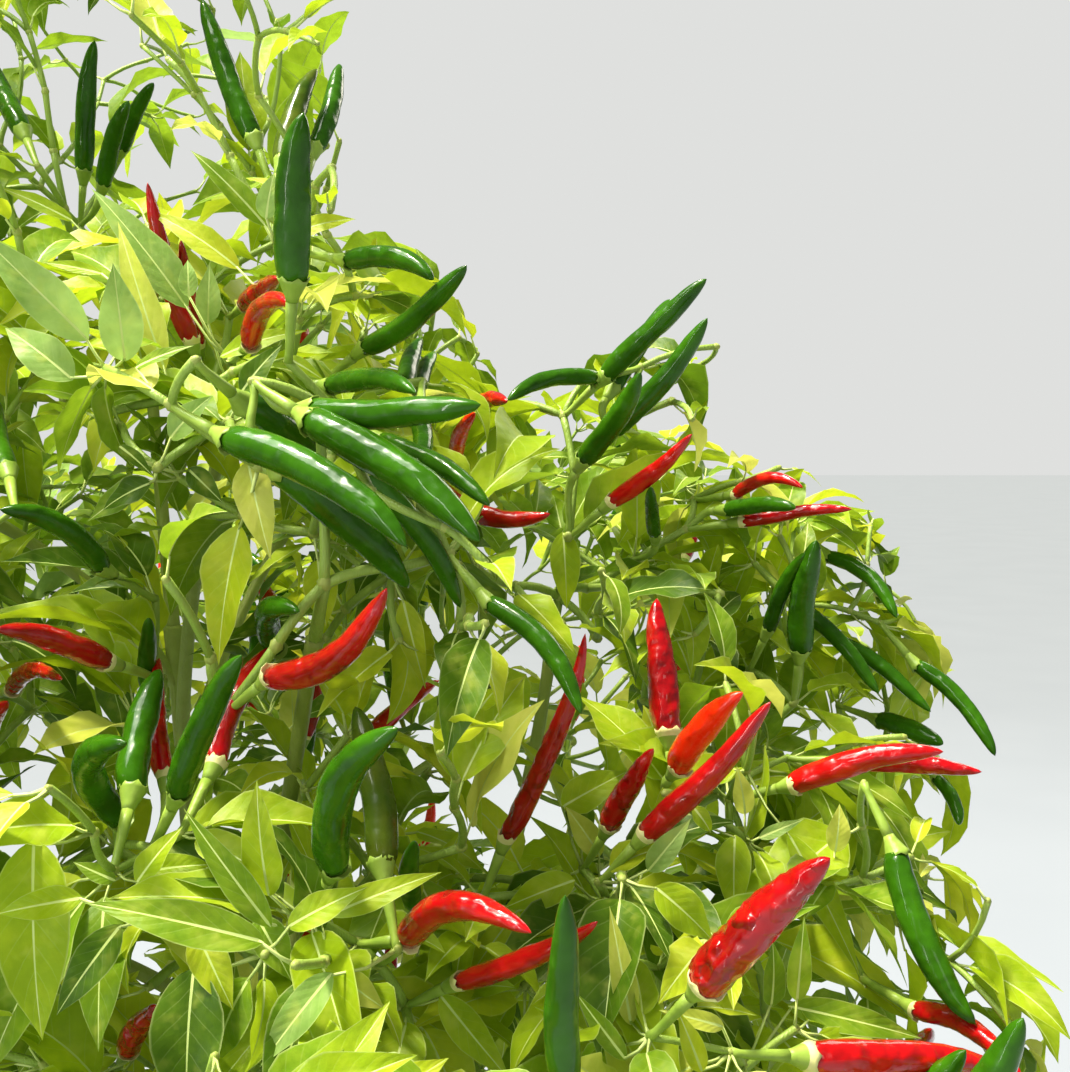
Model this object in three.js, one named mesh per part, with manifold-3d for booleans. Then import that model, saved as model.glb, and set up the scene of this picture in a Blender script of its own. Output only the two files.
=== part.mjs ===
// A chilli pepper plant, rooted and whole: a woody stem that forks into limbs, boughs that leave
// the limbs, and masses of leaves and pods on twigs at the ends of the boughs.
// Millimetres, +Z up. The origin is the centre of the flat cut under the stem, at ground level.
// -Y is the plant's front and +X its right, as one who stands before it sees it.

import * as THREE from "three";
import { mergeVertices } from "three/addons/utils/BufferGeometryUtils.js";
import Module from "manifold-3d";

const wasm = await Module();
wasm.setup();

// Wood. A limb's radii are at its root and at its tip. A node is a swelling: by how much, how far
// along the limb and how long, the last two as shares of the limb's length.
const GROWN_GAP = 0.3;
const STEM = { top: [7, -4, 214], upright: 0.45, sides: 12, steps: 8 };
const STEM_RADII = [9.4, 7.2];
const STEM_NODE = { swell: 1.4, at: 0.94, spread: 0.07 };
const ROOT_FLARE = { swell: 5.2, height: 16 };
const LIMB = { radii: [6, 4.3], node: { swell: 0.9, at: 1, spread: 0.06 }, sides: 8, steps: 5 };

// A bough bends over from its limb's own way, and runs a little into the mass that it carries. Its
// lead is how far it has turned at the root, and its bend is where along it the curve is drawn out.
const BOUGH = {
  radii: [3.6, 2.7],
  node: { swell: 0.5, at: 1, spread: 0.06 },
  sides: 5,
  steps: 3,
  least: 45,
  sunk: 16,
  most: 0.72,
  lead: 0.55,
  bend: 0.45,
};

// Where each limb leaves the stem, as a share of its height, and where the limb ends.
const LIMBS = [
  { name: "limb_top", at: 0.97, end: [-22, 6, 610], sag: 4 },
  { name: "limb_front", at: 0.9, end: [52, -122, 500], sag: 26 },
  { name: "limb_left", at: 0.86, end: [-136, -8, 470], sag: 30 },
  { name: "limb_right", at: 0.93, end: [142, -42, 478], sag: 30 },
  { name: "limb_back", at: 0.82, end: [18, 132, 462], sag: 28 },
];

// Each mass of foliage: what carries its bough, how far along, its centre, and how far it reaches
// from there along X, Y and Z.
const MASSES = [
  { name: "top", from: "limb_top", at: 0.99, centre: [-45, 25, 850], reach: [138, 135, 132] },
  { name: "top_front", from: "limb_top", at: 0.86, centre: [50, -130, 785], reach: [122, 120, 112] },
  { name: "upper_left", from: "limb_top", at: 0.92, centre: [-160, -75, 745], reach: [128, 128, 128] },
  { name: "upper_back", from: "limb_top", at: 0.8, centre: [50, 125, 745], reach: [138, 130, 130] },
  { name: "front", from: "limb_front", at: 0.98, centre: [95, -215, 688], reach: [118, 120, 98] },
  { name: "front_low", from: "limb_front", at: 0.9, centre: [85, -235, 545], reach: [125, 120, 110] },
  { name: "front_left", from: "limb_front", at: 0.8, centre: [-100, -200, 590], reach: [132, 135, 138] },
  { name: "upper_right", from: "limb_right", at: 0.98, centre: [185, -50, 690], reach: [114, 118, 102] },
  { name: "right", from: "limb_right", at: 0.9, centre: [300, -15, 575], reach: [102, 130, 120] },
  { name: "right_front", from: "limb_right", at: 0.82, centre: [230, -190, 540], reach: [124, 130, 125] },
  { name: "back_right", from: "limb_back", at: 0.9, centre: [185, 175, 590], reach: [142, 140, 142] },
  { name: "back", from: "limb_back", at: 0.98, centre: [-10, 250, 560], reach: [138, 125, 145] },
  { name: "back_left", from: "limb_left", at: 0.9, centre: [-185, 135, 630], reach: [138, 138, 142] },
  { name: "left", from: "limb_left", at: 0.98, centre: [-270, -45, 560], reach: [122, 142, 142] },
  { name: "right_low", from: "main_stem", at: 0.72, centre: [215, 10, 365], reach: [150, 150, 135] },
  { name: "left_low", from: "main_stem", at: 0.64, centre: [-190, 55, 355], reach: [150, 150, 135] },
  { name: "front_under", from: "main_stem", at: 0.8, centre: [-15, -185, 365], reach: [145, 140, 135] },
  { name: "back_low", from: "main_stem", at: 0.56, centre: [45, 195, 350], reach: [150, 135, 132] },
];
const SPACE_MARGIN = 0.6;

// Twigs, and the forks where they bear leaves. Forks stand apart, between two shares of the reach.
// A fork's knot is an eight-sided form: each twig, leaf and pod grows out of a face of its own.
const TWIG = { stem: 2.7, first: 24, most: 3, runWeight: 0.3, bow: 0.12 };
const SITE = { sites: 13, perPod: 0.5, draws: 1500, apart: 46, inner: 0.3, outer: 0.86, margin: 9 };
const SITE_LOWEST = 235;
const KNOT = { inner: 3.1, outer: 2.3, thinnest: 200, spins: 6 };
const FOOT_SHARED = 26;

// Leaves: fewer than on the real plant, and a little larger. Shares are of a leaf's length.
const LEAF = { long: [70, 104], wide: 0.4, widest: 0.42, thick: 0.013, fold: 0.1, droop: 0.2 };
const LEAF_WAY = { together: 4, tries: 4, outward: 0.5, hang: 0.7, roll: 0.5, clear: 2, slant: 0.5 };
const CROWN_HEART = [0, 0, 400];
const FIRST_SEED = 4101;

// Pods: slim cones on a stalk that thickens towards the cap. A profile is given as shares of the
// pod's radius and length. Pods out of the photograph's sight stand by the same rule at spare forks.
const POD = { sides: 5, radius: 0.095, stalk: 27, neck: 2, collar: 2, bend: 0.07, heart: 0.4 };
const POD_PROFILE = [[0.75, 0.04], [1, 0.3], [0.72, 0.74]];
const POD_SPARE = { chance: 0.45, tries: 6, long: [52, 74], rise: [0.5, 1.35], swing: 2 };
const POD_OVERHANG = 1.16;
const SETTLE_ROUNDS = 8;

// The photograph's view: the eye, how far it looks down in degrees, the picture's size and the
// distance in pixels at which one pixel is one unit wide.
const VIEW = { eye: [160, -640, 700], tilt: 4, across: 1070, down: 1072, reach: 1294 };

// The pods that the photograph shows: column and row of cap and tip, how far the cap is from the
// eye and how long the pod is, in millimetres. A pod leans towards the eye, unless it leans away.
const PODS_SEEN = [
  { cap: [255, 140], tip: [204, -2], far: 600, long: 72, away: true },
  { cap: [84, 173], tip: [94, 40], far: 660, long: 70 },
  { cap: [293, 283], tip: [303, 112], far: 425, long: 60 },
  { cap: [283, 165], tip: [318, 69], far: 520, long: 50, away: true },
  { cap: [192, 342], tip: [149, 182], far: 540, long: 72 },
  { cap: [347, 261], tip: [434, 279], far: 500, long: 45 },
  { cap: [364, 348], tip: [466, 264], far: 500, long: 60 },
  { cap: [227, 439], tip: [406, 548], far: 400, long: 74 },
  { cap: [309, 420], tip: [481, 540], far: 405, long: 74 },
  { cap: [242, 402], tip: [320, 470], far: 425, long: 56, away: true },
  { cap: [272, 455], tip: [409, 588], far: 420, long: 68, away: true },
  { cap: [365, 470], tip: [462, 607], far: 440, long: 62, away: true },
  { cap: [312, 409], tip: [481, 403], far: 410, long: 60 },
  { cap: [379, 440], tip: [491, 504], far: 455, long: 58 },
  { cap: [102, 568], tip: [0, 509], far: 460, long: 54 },
  { cap: [108, 662], tip: [-4, 628], far: 450, long: 56 },
  { cap: [270, 678], tip: [387, 588], far: 430, long: 60 },
  { cap: [132, 793], tip: [162, 669], far: 420, long: 52, away: true },
  { cap: [178, 795], tip: [244, 656], far: 410, long: 58 },
  { cap: [120, 820], tip: [129, 744], far: 430, long: 54 },
  { cap: [334, 868], tip: [396, 727], far: 390, long: 60 },
  { cap: [382, 866], tip: [353, 707], far: 410, long: 60, away: true },
  { cap: [435, 484], tip: [551, 512], far: 560, long: 60 },
  { cap: [596, 378], tip: [507, 399], far: 580, long: 50 },
  { cap: [605, 377], tip: [708, 280], far: 580, long: 68 },
  { cap: [612, 432], tip: [709, 319], far: 570, long: 70 },
  { cap: [611, 502], tip: [693, 435], far: 560, long: 52 },
  { cap: [741, 522], tip: [852, 508], far: 600, long: 56 },
  { cap: [800, 652], tip: [815, 540], far: 590, long: 56 },
  { cap: [792, 602], tip: [880, 693], far: 620, long: 66 },
  { cap: [838, 640], tip: [931, 712], far: 630, long: 62 },
  { cap: [916, 665], tip: [994, 757], far: 620, long: 64 },
  { cap: [936, 778], tip: [958, 825], far: 640, long: 38 },
  { cap: [506, 838], tip: [585, 633], far: 470, long: 84 },
  { cap: [669, 735], tip: [658, 598], far: 500, long: 56, away: true },
  { cap: [678, 768], tip: [744, 693], far: 480, long: 46 },
  { cap: [645, 835], tip: [773, 703], far: 460, long: 70 },
  { cap: [489, 603], tip: [582, 714], far: 450, long: 58 },
  { cap: [792, 785], tip: [943, 750], far: 510, long: 66 },
  { cap: [850, 762], tip: [982, 771], far: 540, long: 60 },
  { cap: [896, 852], tip: [977, 1024], far: 470, long: 74 },
  { cap: [703, 985], tip: [832, 859], far: 370, long: 58 },
  { cap: [805, 1057], tip: [1010, 1070], far: 400, long: 70, away: true },
  { cap: [407, 940], tip: [531, 931], far: 400, long: 56 },
  { cap: [458, 982], tip: [597, 920], far: 420, long: 60 },
  { cap: [566, 1085], tip: [567, 895], far: 345, long: 56 },
];

const BARK = new THREE.MeshStandardMaterial({ color: "#6d6746", roughness: 0.85, metalness: 0 });
const GREEN_WOOD = new THREE.MeshStandardMaterial({ color: "#8a9a50", roughness: 0.6, metalness: 0 });
const FOLIAGE = new THREE.MeshStandardMaterial({ color: "#7fa83c", roughness: 0.5, metalness: 0 });

const MERGE_WITHIN = 1e-4;
const FLAT = 1e-9;

const { clamp, degToRad, lerp } = THREE.MathUtils;
const vector = (numbers) => new THREE.Vector3(...numbers);

// A seeded row of numbers from 0 to 1, the same on every run.
function seeded(seed) {
  let state = seed;
  return () => {
    state = (state * 48271) % 2147483647;
    return state / 2147483647;
  };
}

// A closed geometry as a solid: its shared vertices merged and its flat triangles left out.
function solid(geometry) {
  const bare = geometry.clone();
  bare.deleteAttribute("normal");
  bare.deleteAttribute("uv");
  const merged = mergeVertices(bare, MERGE_WITHIN);
  const corners = [];
  for (let i = 0; i < merged.index.count; i += 3) {
    const [a, b, c] = [0, 1, 2].map((k) => merged.index.getX(i + k));
    if (a !== b && b !== c && c !== a) corners.push(a, b, c);
  }
  const mesh = new wasm.Mesh({
    numProp: 3,
    vertProperties: new Float32Array(merged.attributes.position.array),
    triVerts: new Uint32Array(corners),
  });
  return new wasm.Manifold(mesh);
}

// The largest body of a solid, without loose scraps and with any sealed hollow filled.
function largest(whole) {
  const bodies = whole.decompose();
  return bodies.reduce((best, body) => (body.volume() > best.volume() ? body : best));
}

function named(name, body, material) {
  const { vertProperties, triVerts } = body.getMesh();
  const geometry = new THREE.BufferGeometry();
  geometry.setAttribute("position", new THREE.BufferAttribute(new Float32Array(vertProperties), 3));
  geometry.setIndex(new THREE.BufferAttribute(new Uint32Array(triVerts), 1));
  geometry.computeVertexNormals();
  const mesh = new THREE.Mesh(geometry, material);
  mesh.name = name;
  return mesh;
}

// Two directions square to a curve at u, which turn with it as little as they can.
function across(curve, u) {
  const chord = curve.getPoint(1).sub(curve.getPoint(0));
  const side = Math.abs(chord.x) < Math.abs(chord.z) ? vector([1, 0, 0]) : vector([0, 0, 1]);
  const along = curve.getTangent(u);
  const first = side.projectOnPlane(along).normalize();
  return { along, first, second: along.clone().cross(first) };
}

// A geometry that stands on Y from 0 to 1, laid along a curve and made radiusAt(u) thick. Its two
// ends reach spare further out.
function bent(geometry, curve, radiusAt, spare = 0) {
  const laid = geometry.clone();
  const places = laid.attributes.position;
  for (let i = 0; i < places.count; i++) {
    const u = clamp(places.getY(i), 0, 1);
    const frame = across(curve, u);
    const radius = radiusAt(u);
    const place = curve.getPoint(u);
    place.addScaledVector(frame.first, places.getX(i) * radius);
    place.addScaledVector(frame.second, -places.getZ(i) * radius);
    if (u === 0) place.addScaledVector(frame.along, -spare);
    if (u === 1) place.addScaledVector(frame.along, spare);
    places.setXYZ(i, place.x, place.y, place.z);
  }
  return laid;
}

function tube(curve, radiusAt, sides, steps, spare = 0) {
  const straight = new THREE.CylinderGeometry(1, 1, 1, sides, steps);
  straight.translate(0, 0.5, 0);
  return solid(bent(straight, curve, (u) => radiusAt(u) + spare, spare));
}

// A radius that tapers from root to tip and swells at a node.
function taper(radii, { swell, at, spread }) {
  return (u) => lerp(...radii, u) + swell * Math.exp(-(((at - u) / spread) ** 2));
}

// Shortest distance between the lines a-b and c-d.
function between(a, b, c, d) {
  const p = b.clone().sub(a);
  const q = d.clone().sub(c);
  const r = a.clone().sub(c);
  const [pp, pq, qq, pr, qr] = [p.dot(p), p.dot(q), q.dot(q), p.dot(r), q.dot(r)];
  const flat = pp * qq - pq * pq;
  let s = flat > FLAT ? clamp((pq * qr - qq * pr) / flat, 0, 1) : 0;
  const t = clamp((pq * s + qr) / qq, 0, 1);
  s = clamp((pq * t - pr) / pp, 0, 1);
  return a.clone().addScaledVector(p, s).distanceTo(c.clone().addScaledVector(q, t));
}

// Wood: every limb is kept as a solid, as the same solid grown by the gap, and as short runs.
const wood = new Map();

function addWood(name, curve, radiusAt, { sides, steps }) {
  let body = tube(curve, radiusAt, sides, steps);
  for (const other of wood.values()) body = body.subtract(other.grown);
  const runs = [];
  for (let i = 0; i < steps; i++) {
    const [from, to] = [i / steps, (i + 1) / steps];
    const radius = Math.max(radiusAt(from), radiusAt(to));
    runs.push({ from: curve.getPoint(from), to: curve.getPoint(to), radius });
  }
  const grown = tube(curve, radiusAt, sides, steps, GROWN_GAP);
  wood.set(name, { name, curve, body: largest(body), grown, runs });
}

const stemCurve = new THREE.QuadraticBezierCurve3(
  vector([0, 0, 0]),
  vector([0, 0, STEM.top[2] * STEM.upright]),
  vector(STEM.top),
);

function stemRadius(u) {
  const flare = ROOT_FLARE.swell * Math.exp((-u * STEM.top[2]) / ROOT_FLARE.height);
  return taper(STEM_RADII, STEM_NODE)(u) + flare;
}

addWood("main_stem", stemCurve, stemRadius, STEM);

for (const { name, at, end, sag } of LIMBS) {
  const root = stemCurve.getPoint(at);
  const tip = vector(end);
  const middle = root.clone().lerp(tip, 0.5).add(vector([0, 0, -sag]));
  const curve = new THREE.QuadraticBezierCurve3(root, middle, tip);
  addWood(name, curve, taper(LIMB.radii, LIMB.node), LIMB);
}

// Space: a mass keeps to the side of each plane that parts it from a neighbour, and within reach.
function spaceOf(mass) {
  const centre = vector(mass.centre);
  const size = Math.hypot(...mass.reach) ** 2 / 3;
  const planes = [];
  for (const other of MASSES) {
    if (other === mass) continue;
    const away = vector(other.centre).sub(centre);
    const apart = away.length();
    const otherSize = Math.hypot(...other.reach) ** 2 / 3;
    const limit = (apart ** 2 + size - otherSize) / (2 * apart) - SPACE_MARGIN;
    planes.push({ away: away.normalize(), limit });
  }
  // How far a place lies past the plane that it is furthest past, and which way that plane looks.
  const past = (place) => {
    const offset = place.clone().sub(centre);
    let worst = { by: -Infinity, away: null };
    for (const { away, limit } of planes) {
      const by = offset.dot(away) - limit;
      if (by > worst.by) worst = { by, away };
    }
    return worst;
  };
  // How far out a place is, as a share of the reach.
  const share = (place) => place.clone().sub(centre).divide(vector(mass.reach)).length();
  const holds = (place) => past(place).by < 0 && share(place) < 1;
  return { centre, past, share, holds };
}

const spaces = new Map(MASSES.map((mass) => [mass.name, spaceOf(mass)]));

// A bough: from its limb towards the middle of its mass, to a little way past the mass's border.
function boughCurve(mass) {
  const space = spaces.get(mass.name);
  const carrier = wood.get(mass.from);
  const root = carrier.curve.getPoint(mass.at);
  const way = space.centre.clone().sub(root);
  const whole = way.length();
  way.normalize();
  let entry = 0;
  while (entry < whole && !space.holds(root.clone().addScaledVector(way, entry))) entry += 2;
  const length = Math.min(Math.max(entry + BOUGH.sunk, BOUGH.least), whole * BOUGH.most);
  const tip = root.clone().addScaledVector(way, length);
  const lead = carrier.curve.getTangent(mass.at).lerp(way, BOUGH.lead).normalize();
  const middle = root.clone().addScaledVector(lead, length * BOUGH.bend);
  return new THREE.QuadraticBezierCurve3(root, middle, tip);
}

for (const mass of MASSES) {
  addWood(`bough_${mass.name}`, boughCurve(mass), taper(BOUGH.radii, BOUGH.node), BOUGH);
}

const allRuns = [...wood.values()].flatMap(({ runs }) => runs);

// True where a straight rod would come near a limb.
function meetsWood(from, to, radius) {
  const clear = radius + 2 * GROWN_GAP;
  return allRuns.some((run) => between(from, to, run.from, run.to) < run.radius + clear);
}

// The place that shows at a column and row of the photograph, so far from the eye.
function seen([column, row], far) {
  const tilt = degToRad(VIEW.tilt);
  const side = (column - VIEW.across / 2) / VIEW.reach;
  const rise = (VIEW.down / 2 - row) / VIEW.reach;
  const forward = Math.cos(tilt) + rise * Math.sin(tilt);
  const up = rise * Math.cos(tilt) - Math.sin(tilt);
  return vector(VIEW.eye).add(vector([side, forward, up]).multiplyScalar(far));
}

// A pod as its cap, its tip and the foot of its stalk.
function podFrom(cap, tip) {
  const way = tip.clone().sub(cap).normalize();
  return { cap, tip, foot: cap.clone().addScaledVector(way, -POD.stalk) };
}

function podSeen({ cap, tip, far, long, away }) {
  const start = seen(cap, far);
  const flat = seen(tip, far).distanceTo(start);
  const lean = Math.sqrt(Math.max(long ** 2 - flat ** 2, 0));
  return podFrom(start, seen(tip, away ? far + lean : far - lean));
}

function podHolds(space, { cap, tip, foot }) {
  const girth = cap.distanceTo(tip) * POD.radius + SPACE_MARGIN;
  const inside = [cap, tip, foot].every((place) => space.past(place).by < -girth);
  const near = [cap, tip, foot].every((place) => space.share(place) < POD_OVERHANG);
  return inside && near && !meetsWood(foot, tip, girth);
}

// Moves a pod off the planes of its space, by no more than it needs.
function settled(space, pod) {
  const width = pod.cap.distanceTo(pod.tip) * POD.radius + 2 * SPACE_MARGIN;
  const places = [pod.cap, pod.tip, pod.foot];
  for (let round = 0; round < SETTLE_ROUNDS; round++) {
    const worst = places.map(space.past).reduce((a, b) => (a.by > b.by ? a : b));
    if (worst.by < -width) break;
    places.forEach((place) => place.addScaledVector(worst.away, -(worst.by + width)));
  }
  return pod;
}

// The name of the mass in whose space a pod hangs.
function homeOf(pod) {
  const middle = pod.cap.clone().lerp(pod.tip, POD.heart);
  const names = [...spaces.keys()];
  return names.reduce((best, name) => {
    const [a, b] = [spaces.get(name), spaces.get(best)];
    return a.past(middle).by < b.past(middle).by ? name : best;
  });
}

const podsOf = new Map(MASSES.map(({ name }) => [name, []]));
for (const row of PODS_SEEN) {
  const pod = podSeen(row);
  const home = homeOf(pod);
  settled(spaces.get(home), pod);
  if (podHolds(spaces.get(home), pod)) podsOf.get(home).push(pod);
}

function wayTo(from, to) {
  return to.clone().sub(from).normalize();
}

// The forks of a mass: the feet of its pods' stalks and seeded places between them, each joined to
// the fork that it reaches by the shortest way.
function forksOf(mass, space, random) {
  const bough = wood.get(`bough_${mass.name}`);
  const way = bough.curve.getTangent(1);
  const root = bough.curve.getPoint(1).addScaledVector(way, GROWN_GAP);
  const start = root.clone().addScaledVector(way, TWIG.first);
  const first = { place: start, way, run: 0, twigs: [], pods: [] };
  const wanted = [];
  for (const pod of podsOf.get(mass.name)) {
    const shared = wanted.find(({ place }) => place.distanceTo(pod.foot) < FOOT_SHARED);
    if (shared) shared.pods.push(pod);
    else wanted.push({ place: pod.foot, pods: [pod], twigs: [] });
  }
  const most = wanted.length * SITE.perPod + SITE.sites;
  for (let draw = 0; draw < SITE.draws && wanted.length < most; draw++) {
    const turn = random() * Math.PI * 2;
    const height = random() * 2 - 1;
    const ring = Math.sqrt(1 - height * height);
    const out = lerp(SITE.inner, SITE.outer, Math.cbrt(random()));
    const place = vector([ring * Math.cos(turn), ring * Math.sin(turn), height]);
    place.multiplyScalar(out).multiply(vector(mass.reach)).add(space.centre);
    const free = [first, ...wanted].every((other) => other.place.distanceTo(place) > SITE.apart);
    const above = place.clone().add(vector([0, 0, 1]));
    const clear = space.past(place).by < -SITE.margin && !meetsWood(place, above, SITE.margin);
    if (free && clear && place.z > SITE_LOWEST) wanted.push({ place, pods: [], twigs: [] });
  }
  wanted.sort((a, b) => a.place.distanceTo(first.place) - b.place.distanceTo(first.place));
  const forks = [first];
  for (const fork of wanted) {
    const cost = (other) => other.place.distanceTo(fork.place) + TWIG.runWeight * other.run;
    const open = forks.filter((other) => {
      return other.twigs.length < TWIG.most && !meetsWood(other.place, fork.place, KNOT.inner);
    });
    if (open.length === 0) continue;
    fork.from = open.reduce((best, other) => (cost(other) < cost(best) ? other : best));
    fork.run = fork.from.run + fork.from.place.distanceTo(fork.place);
    fork.way = wayTo(fork.from.place, fork.place);
    fork.from.twigs.push(fork);
    forks.push(fork);
  }
  return { root, forks };
}

// True where an edge passes through a triangle.
function pierces(from, to, a, b, c) {
  const way = to.clone().sub(from);
  const ab = b.clone().sub(a);
  const ac = c.clone().sub(a);
  const level = way.clone().cross(ac);
  const det = ab.dot(level);
  if (Math.abs(det) < FLAT) return false;
  const start = from.clone().sub(a);
  const u = start.dot(level) / det;
  const turned = start.cross(ab);
  const v = way.dot(turned) / det;
  const t = ac.dot(turned) / det;
  return u >= 0 && v >= 0 && u + v <= 1 && t >= 0 && t <= 1;
}

// One closed skin that grows: rings of places, bridged by triangles. What would cross the skin
// that is there already, leave the space or touch a limb is taken back.
class Skin {
  places = [];
  faces = [];

  ring(places) {
    this.places.push(...places);
    return places.map((_, i) => this.places.length - places.length + i);
  }

  face(a, b, c) {
    const box = new THREE.Box3().setFromPoints([a, b, c].map((i) => this.places[i]));
    this.faces.push({ corners: [a, b, c], box });
  }

  // Both rings turn the same way, as seen from the end that the skin grows towards.
  bridge(lower, upper) {
    const gap = (a, b) => this.places[a].distanceTo(this.places[b]);
    const [n, m] = [lower.length, upper.length];
    const offsets = upper.map((_, k) => {
      return lower.reduce((sum, a, i) => sum + gap(a, upper[(k + Math.round((i * m) / n)) % m]), 0);
    });
    const start = offsets.indexOf(Math.min(...offsets));
    let [i, j] = [0, 0];
    while (i < n || j < m) {
      const [a, nextA] = [lower[i % n], lower[(i + 1) % n]];
      const [b, nextB] = [upper[(start + j) % m], upper[(start + j + 1) % m]];
      if ((i + 1) * m <= (j + 1) * n) {
        this.face(a, nextA, b);
        i += 1;
      } else {
        this.face(a, nextB, b);
        j += 1;
      }
    }
    return upper;
  }

  close(ring, place) {
    const [tip] = this.ring([place]);
    ring.forEach((a, i) => this.face(a, ring[(i + 1) % ring.length], tip));
  }

  crosses(one, other) {
    if (!one.box.intersectsBox(other.box)) return false;
    const shared = one.corners.filter((corner) => other.corners.includes(corner));
    if (shared.length > 1) return false;
    const through = (a, b) => {
      const sheet = b.corners.map((i) => this.places[i]);
      return a.corners.some((corner, i) => {
        const next = a.corners[(i + 1) % 3];
        if (shared.includes(corner) || shared.includes(next)) return false;
        return pierces(this.places[corner], this.places[next], ...sheet);
      });
    };
    return through(one, other) || through(other, one);
  }

  // Grows a form in place of the given faces, and says whether it could stay.
  grow(openings, build, allowed = () => true) {
    const [places, faces] = [this.places.length, this.faces];
    this.faces = faces.filter(({ corners }) => !openings.includes(corners));
    const kept = this.faces.length;
    build();
    const fresh = this.faces.slice(kept);
    const old = this.faces.slice(0, kept);
    const clear = () => !fresh.some((face) => old.some((other) => this.crosses(face, other)));
    if (this.places.slice(places).every(allowed) && clear()) return true;
    this.places.length = places;
    this.faces = faces;
    return false;
  }

  solid() {
    const geometry = new THREE.BufferGeometry();
    const numbers = this.places.flatMap((place) => place.toArray());
    geometry.setAttribute("position", new THREE.Float32BufferAttribute(numbers, 3));
    geometry.setIndex(this.faces.flatMap((face) => face.corners));
    return solid(geometry);
  }
}

// A ring of places round a way, which turns right-handed about it.
function ringAt(place, way, radius, sides) {
  const { first, second } = across(new THREE.LineCurve3(place, place.clone().add(way)), 0);
  return Array.from({ length: sides }, (_, i) => {
    const turn = (i * 2 * Math.PI) / sides;
    const spot = place.clone().addScaledVector(first, radius * Math.cos(turn));
    return spot.addScaledVector(second, radius * Math.sin(turn));
  });
}

const knotShape = new THREE.OctahedronGeometry(1, 0);
knotShape.deleteAttribute("normal");
knotShape.deleteAttribute("uv");
const knotSides = mergeVertices(knotShape);

// Sets a fork's knot on the skin, with one face towards the fork before it and the others turned
// to suit the twigs and pods that leave it.
function setKnot(skin, fork) {
  const radius = lerp(KNOT.inner, KNOT.outer, Math.min(fork.run / KNOT.thinnest, 1));
  const index = [...knotSides.index.array];
  const corner = (i) => new THREE.Vector3().fromBufferAttribute(knotSides.attributes.position, i);
  const sides = [];
  for (let i = 0; i < index.length; i += 3) {
    const corners = index.slice(i, i + 3);
    const way = corners.map(corner).reduce((sum, place) => sum.add(place)).normalize();
    sides.push({ corners, way });
  }
  const back = new THREE.Quaternion().setFromUnitVectors(sides[0].way, fork.way.clone().negate());
  const podWays = fork.pods.map(({ cap }) => wayTo(fork.place, cap));
  const wanted = [...fork.twigs.map(({ way }) => way), ...podWays];
  const suits = (turned) => wanted.reduce((sum, way) => {
    const nearness = (side) => side.way.clone().applyQuaternion(turned).dot(way);
    return sum + Math.max(...sides.slice(1).map(nearness));
  }, 0);
  const turns = Array.from({ length: KNOT.spins }, (_, k) => {
    const spin = ((2 * Math.PI) / 3) * (k / KNOT.spins);
    return new THREE.Quaternion().setFromAxisAngle(fork.way, spin).multiply(back);
  });
  const turned = turns.reduce((best, turn) => (suits(turn) > suits(best) ? turn : best));
  const spots = skin.ring([0, 1, 2, 3, 4, 5].map((i) => {
    return corner(i).multiplyScalar(radius).applyQuaternion(turned).add(fork.place);
  }));
  fork.faces = sides.map((side) => {
    skin.face(...side.corners.map((i) => spots[i]));
    const way = side.way.clone().applyQuaternion(turned);
    return { corners: skin.faces.at(-1).corners, way, free: true };
  });
}

// The free face of a knot that looks most nearly a given way.
function faceTowards(fork, way) {
  const free = fork.faces.filter((face) => face.free);
  const best = free.reduce((a, b) => (a.way.dot(way) > b.way.dot(way) ? a : b), free[0]);
  return best && best.way.dot(way) > LEAF_WAY.slant ? best : null;
}

function growTwig(skin, fork, random) {
  const from = faceTowards(fork.from, fork.way);
  if (!from) return false;
  const to = fork.faces[0];
  const middle = fork.from.place.clone().lerp(fork.place, 0.5);
  const long = fork.place.distanceTo(fork.from.place);
  const bow = vector([random() - 0.5, random() - 0.5, -random()]);
  middle.addScaledVector(bow, long * TWIG.bow);
  const [edgeStart, edgeEnd] = to.corners.map((i) => skin.places[i]);
  const radius = edgeStart.distanceTo(edgeEnd) / Math.sqrt(3);
  const grown = skin.grow([from.corners, to.corners], () => {
    const ring = skin.bridge(from.corners, skin.ring(ringAt(middle, fork.way, radius, 3)));
    skin.bridge(ring, [...to.corners].reverse());
  });
  from.free = !grown;
  to.free = false;
  return grown;
}

function growPod(skin, fork, pod, space, random) {
  const { cap, tip } = pod;
  const face = faceTowards(fork, wayTo(fork.place, cap));
  if (!face) return false;
  const long = cap.distanceTo(tip);
  const way = wayTo(cap, tip);
  const turn = random() * Math.PI * 2;
  const bow = vector([Math.cos(turn), Math.sin(turn), 0]).multiplyScalar(long * POD.bend);
  const rib = new THREE.QuadraticBezierCurve3(cap, cap.clone().lerp(tip, 0.5).add(bow), tip);
  const grown = skin.grow([face.corners], () => {
    const collar = cap.clone().addScaledVector(way, -POD.collar);
    let ring = skin.bridge(face.corners, skin.ring(ringAt(collar, way, POD.neck, 3)));
    for (const [share, along] of POD_PROFILE) {
      const radius = share * POD.radius * long;
      const places = ringAt(rib.getPoint(along), rib.getTangent(along), radius, POD.sides);
      ring = skin.bridge(ring, skin.ring(places));
    }
    skin.close(ring, tip);
  }, (place) => space.past(place).by < 0);
  face.free = !grown;
  return grown;
}

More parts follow.
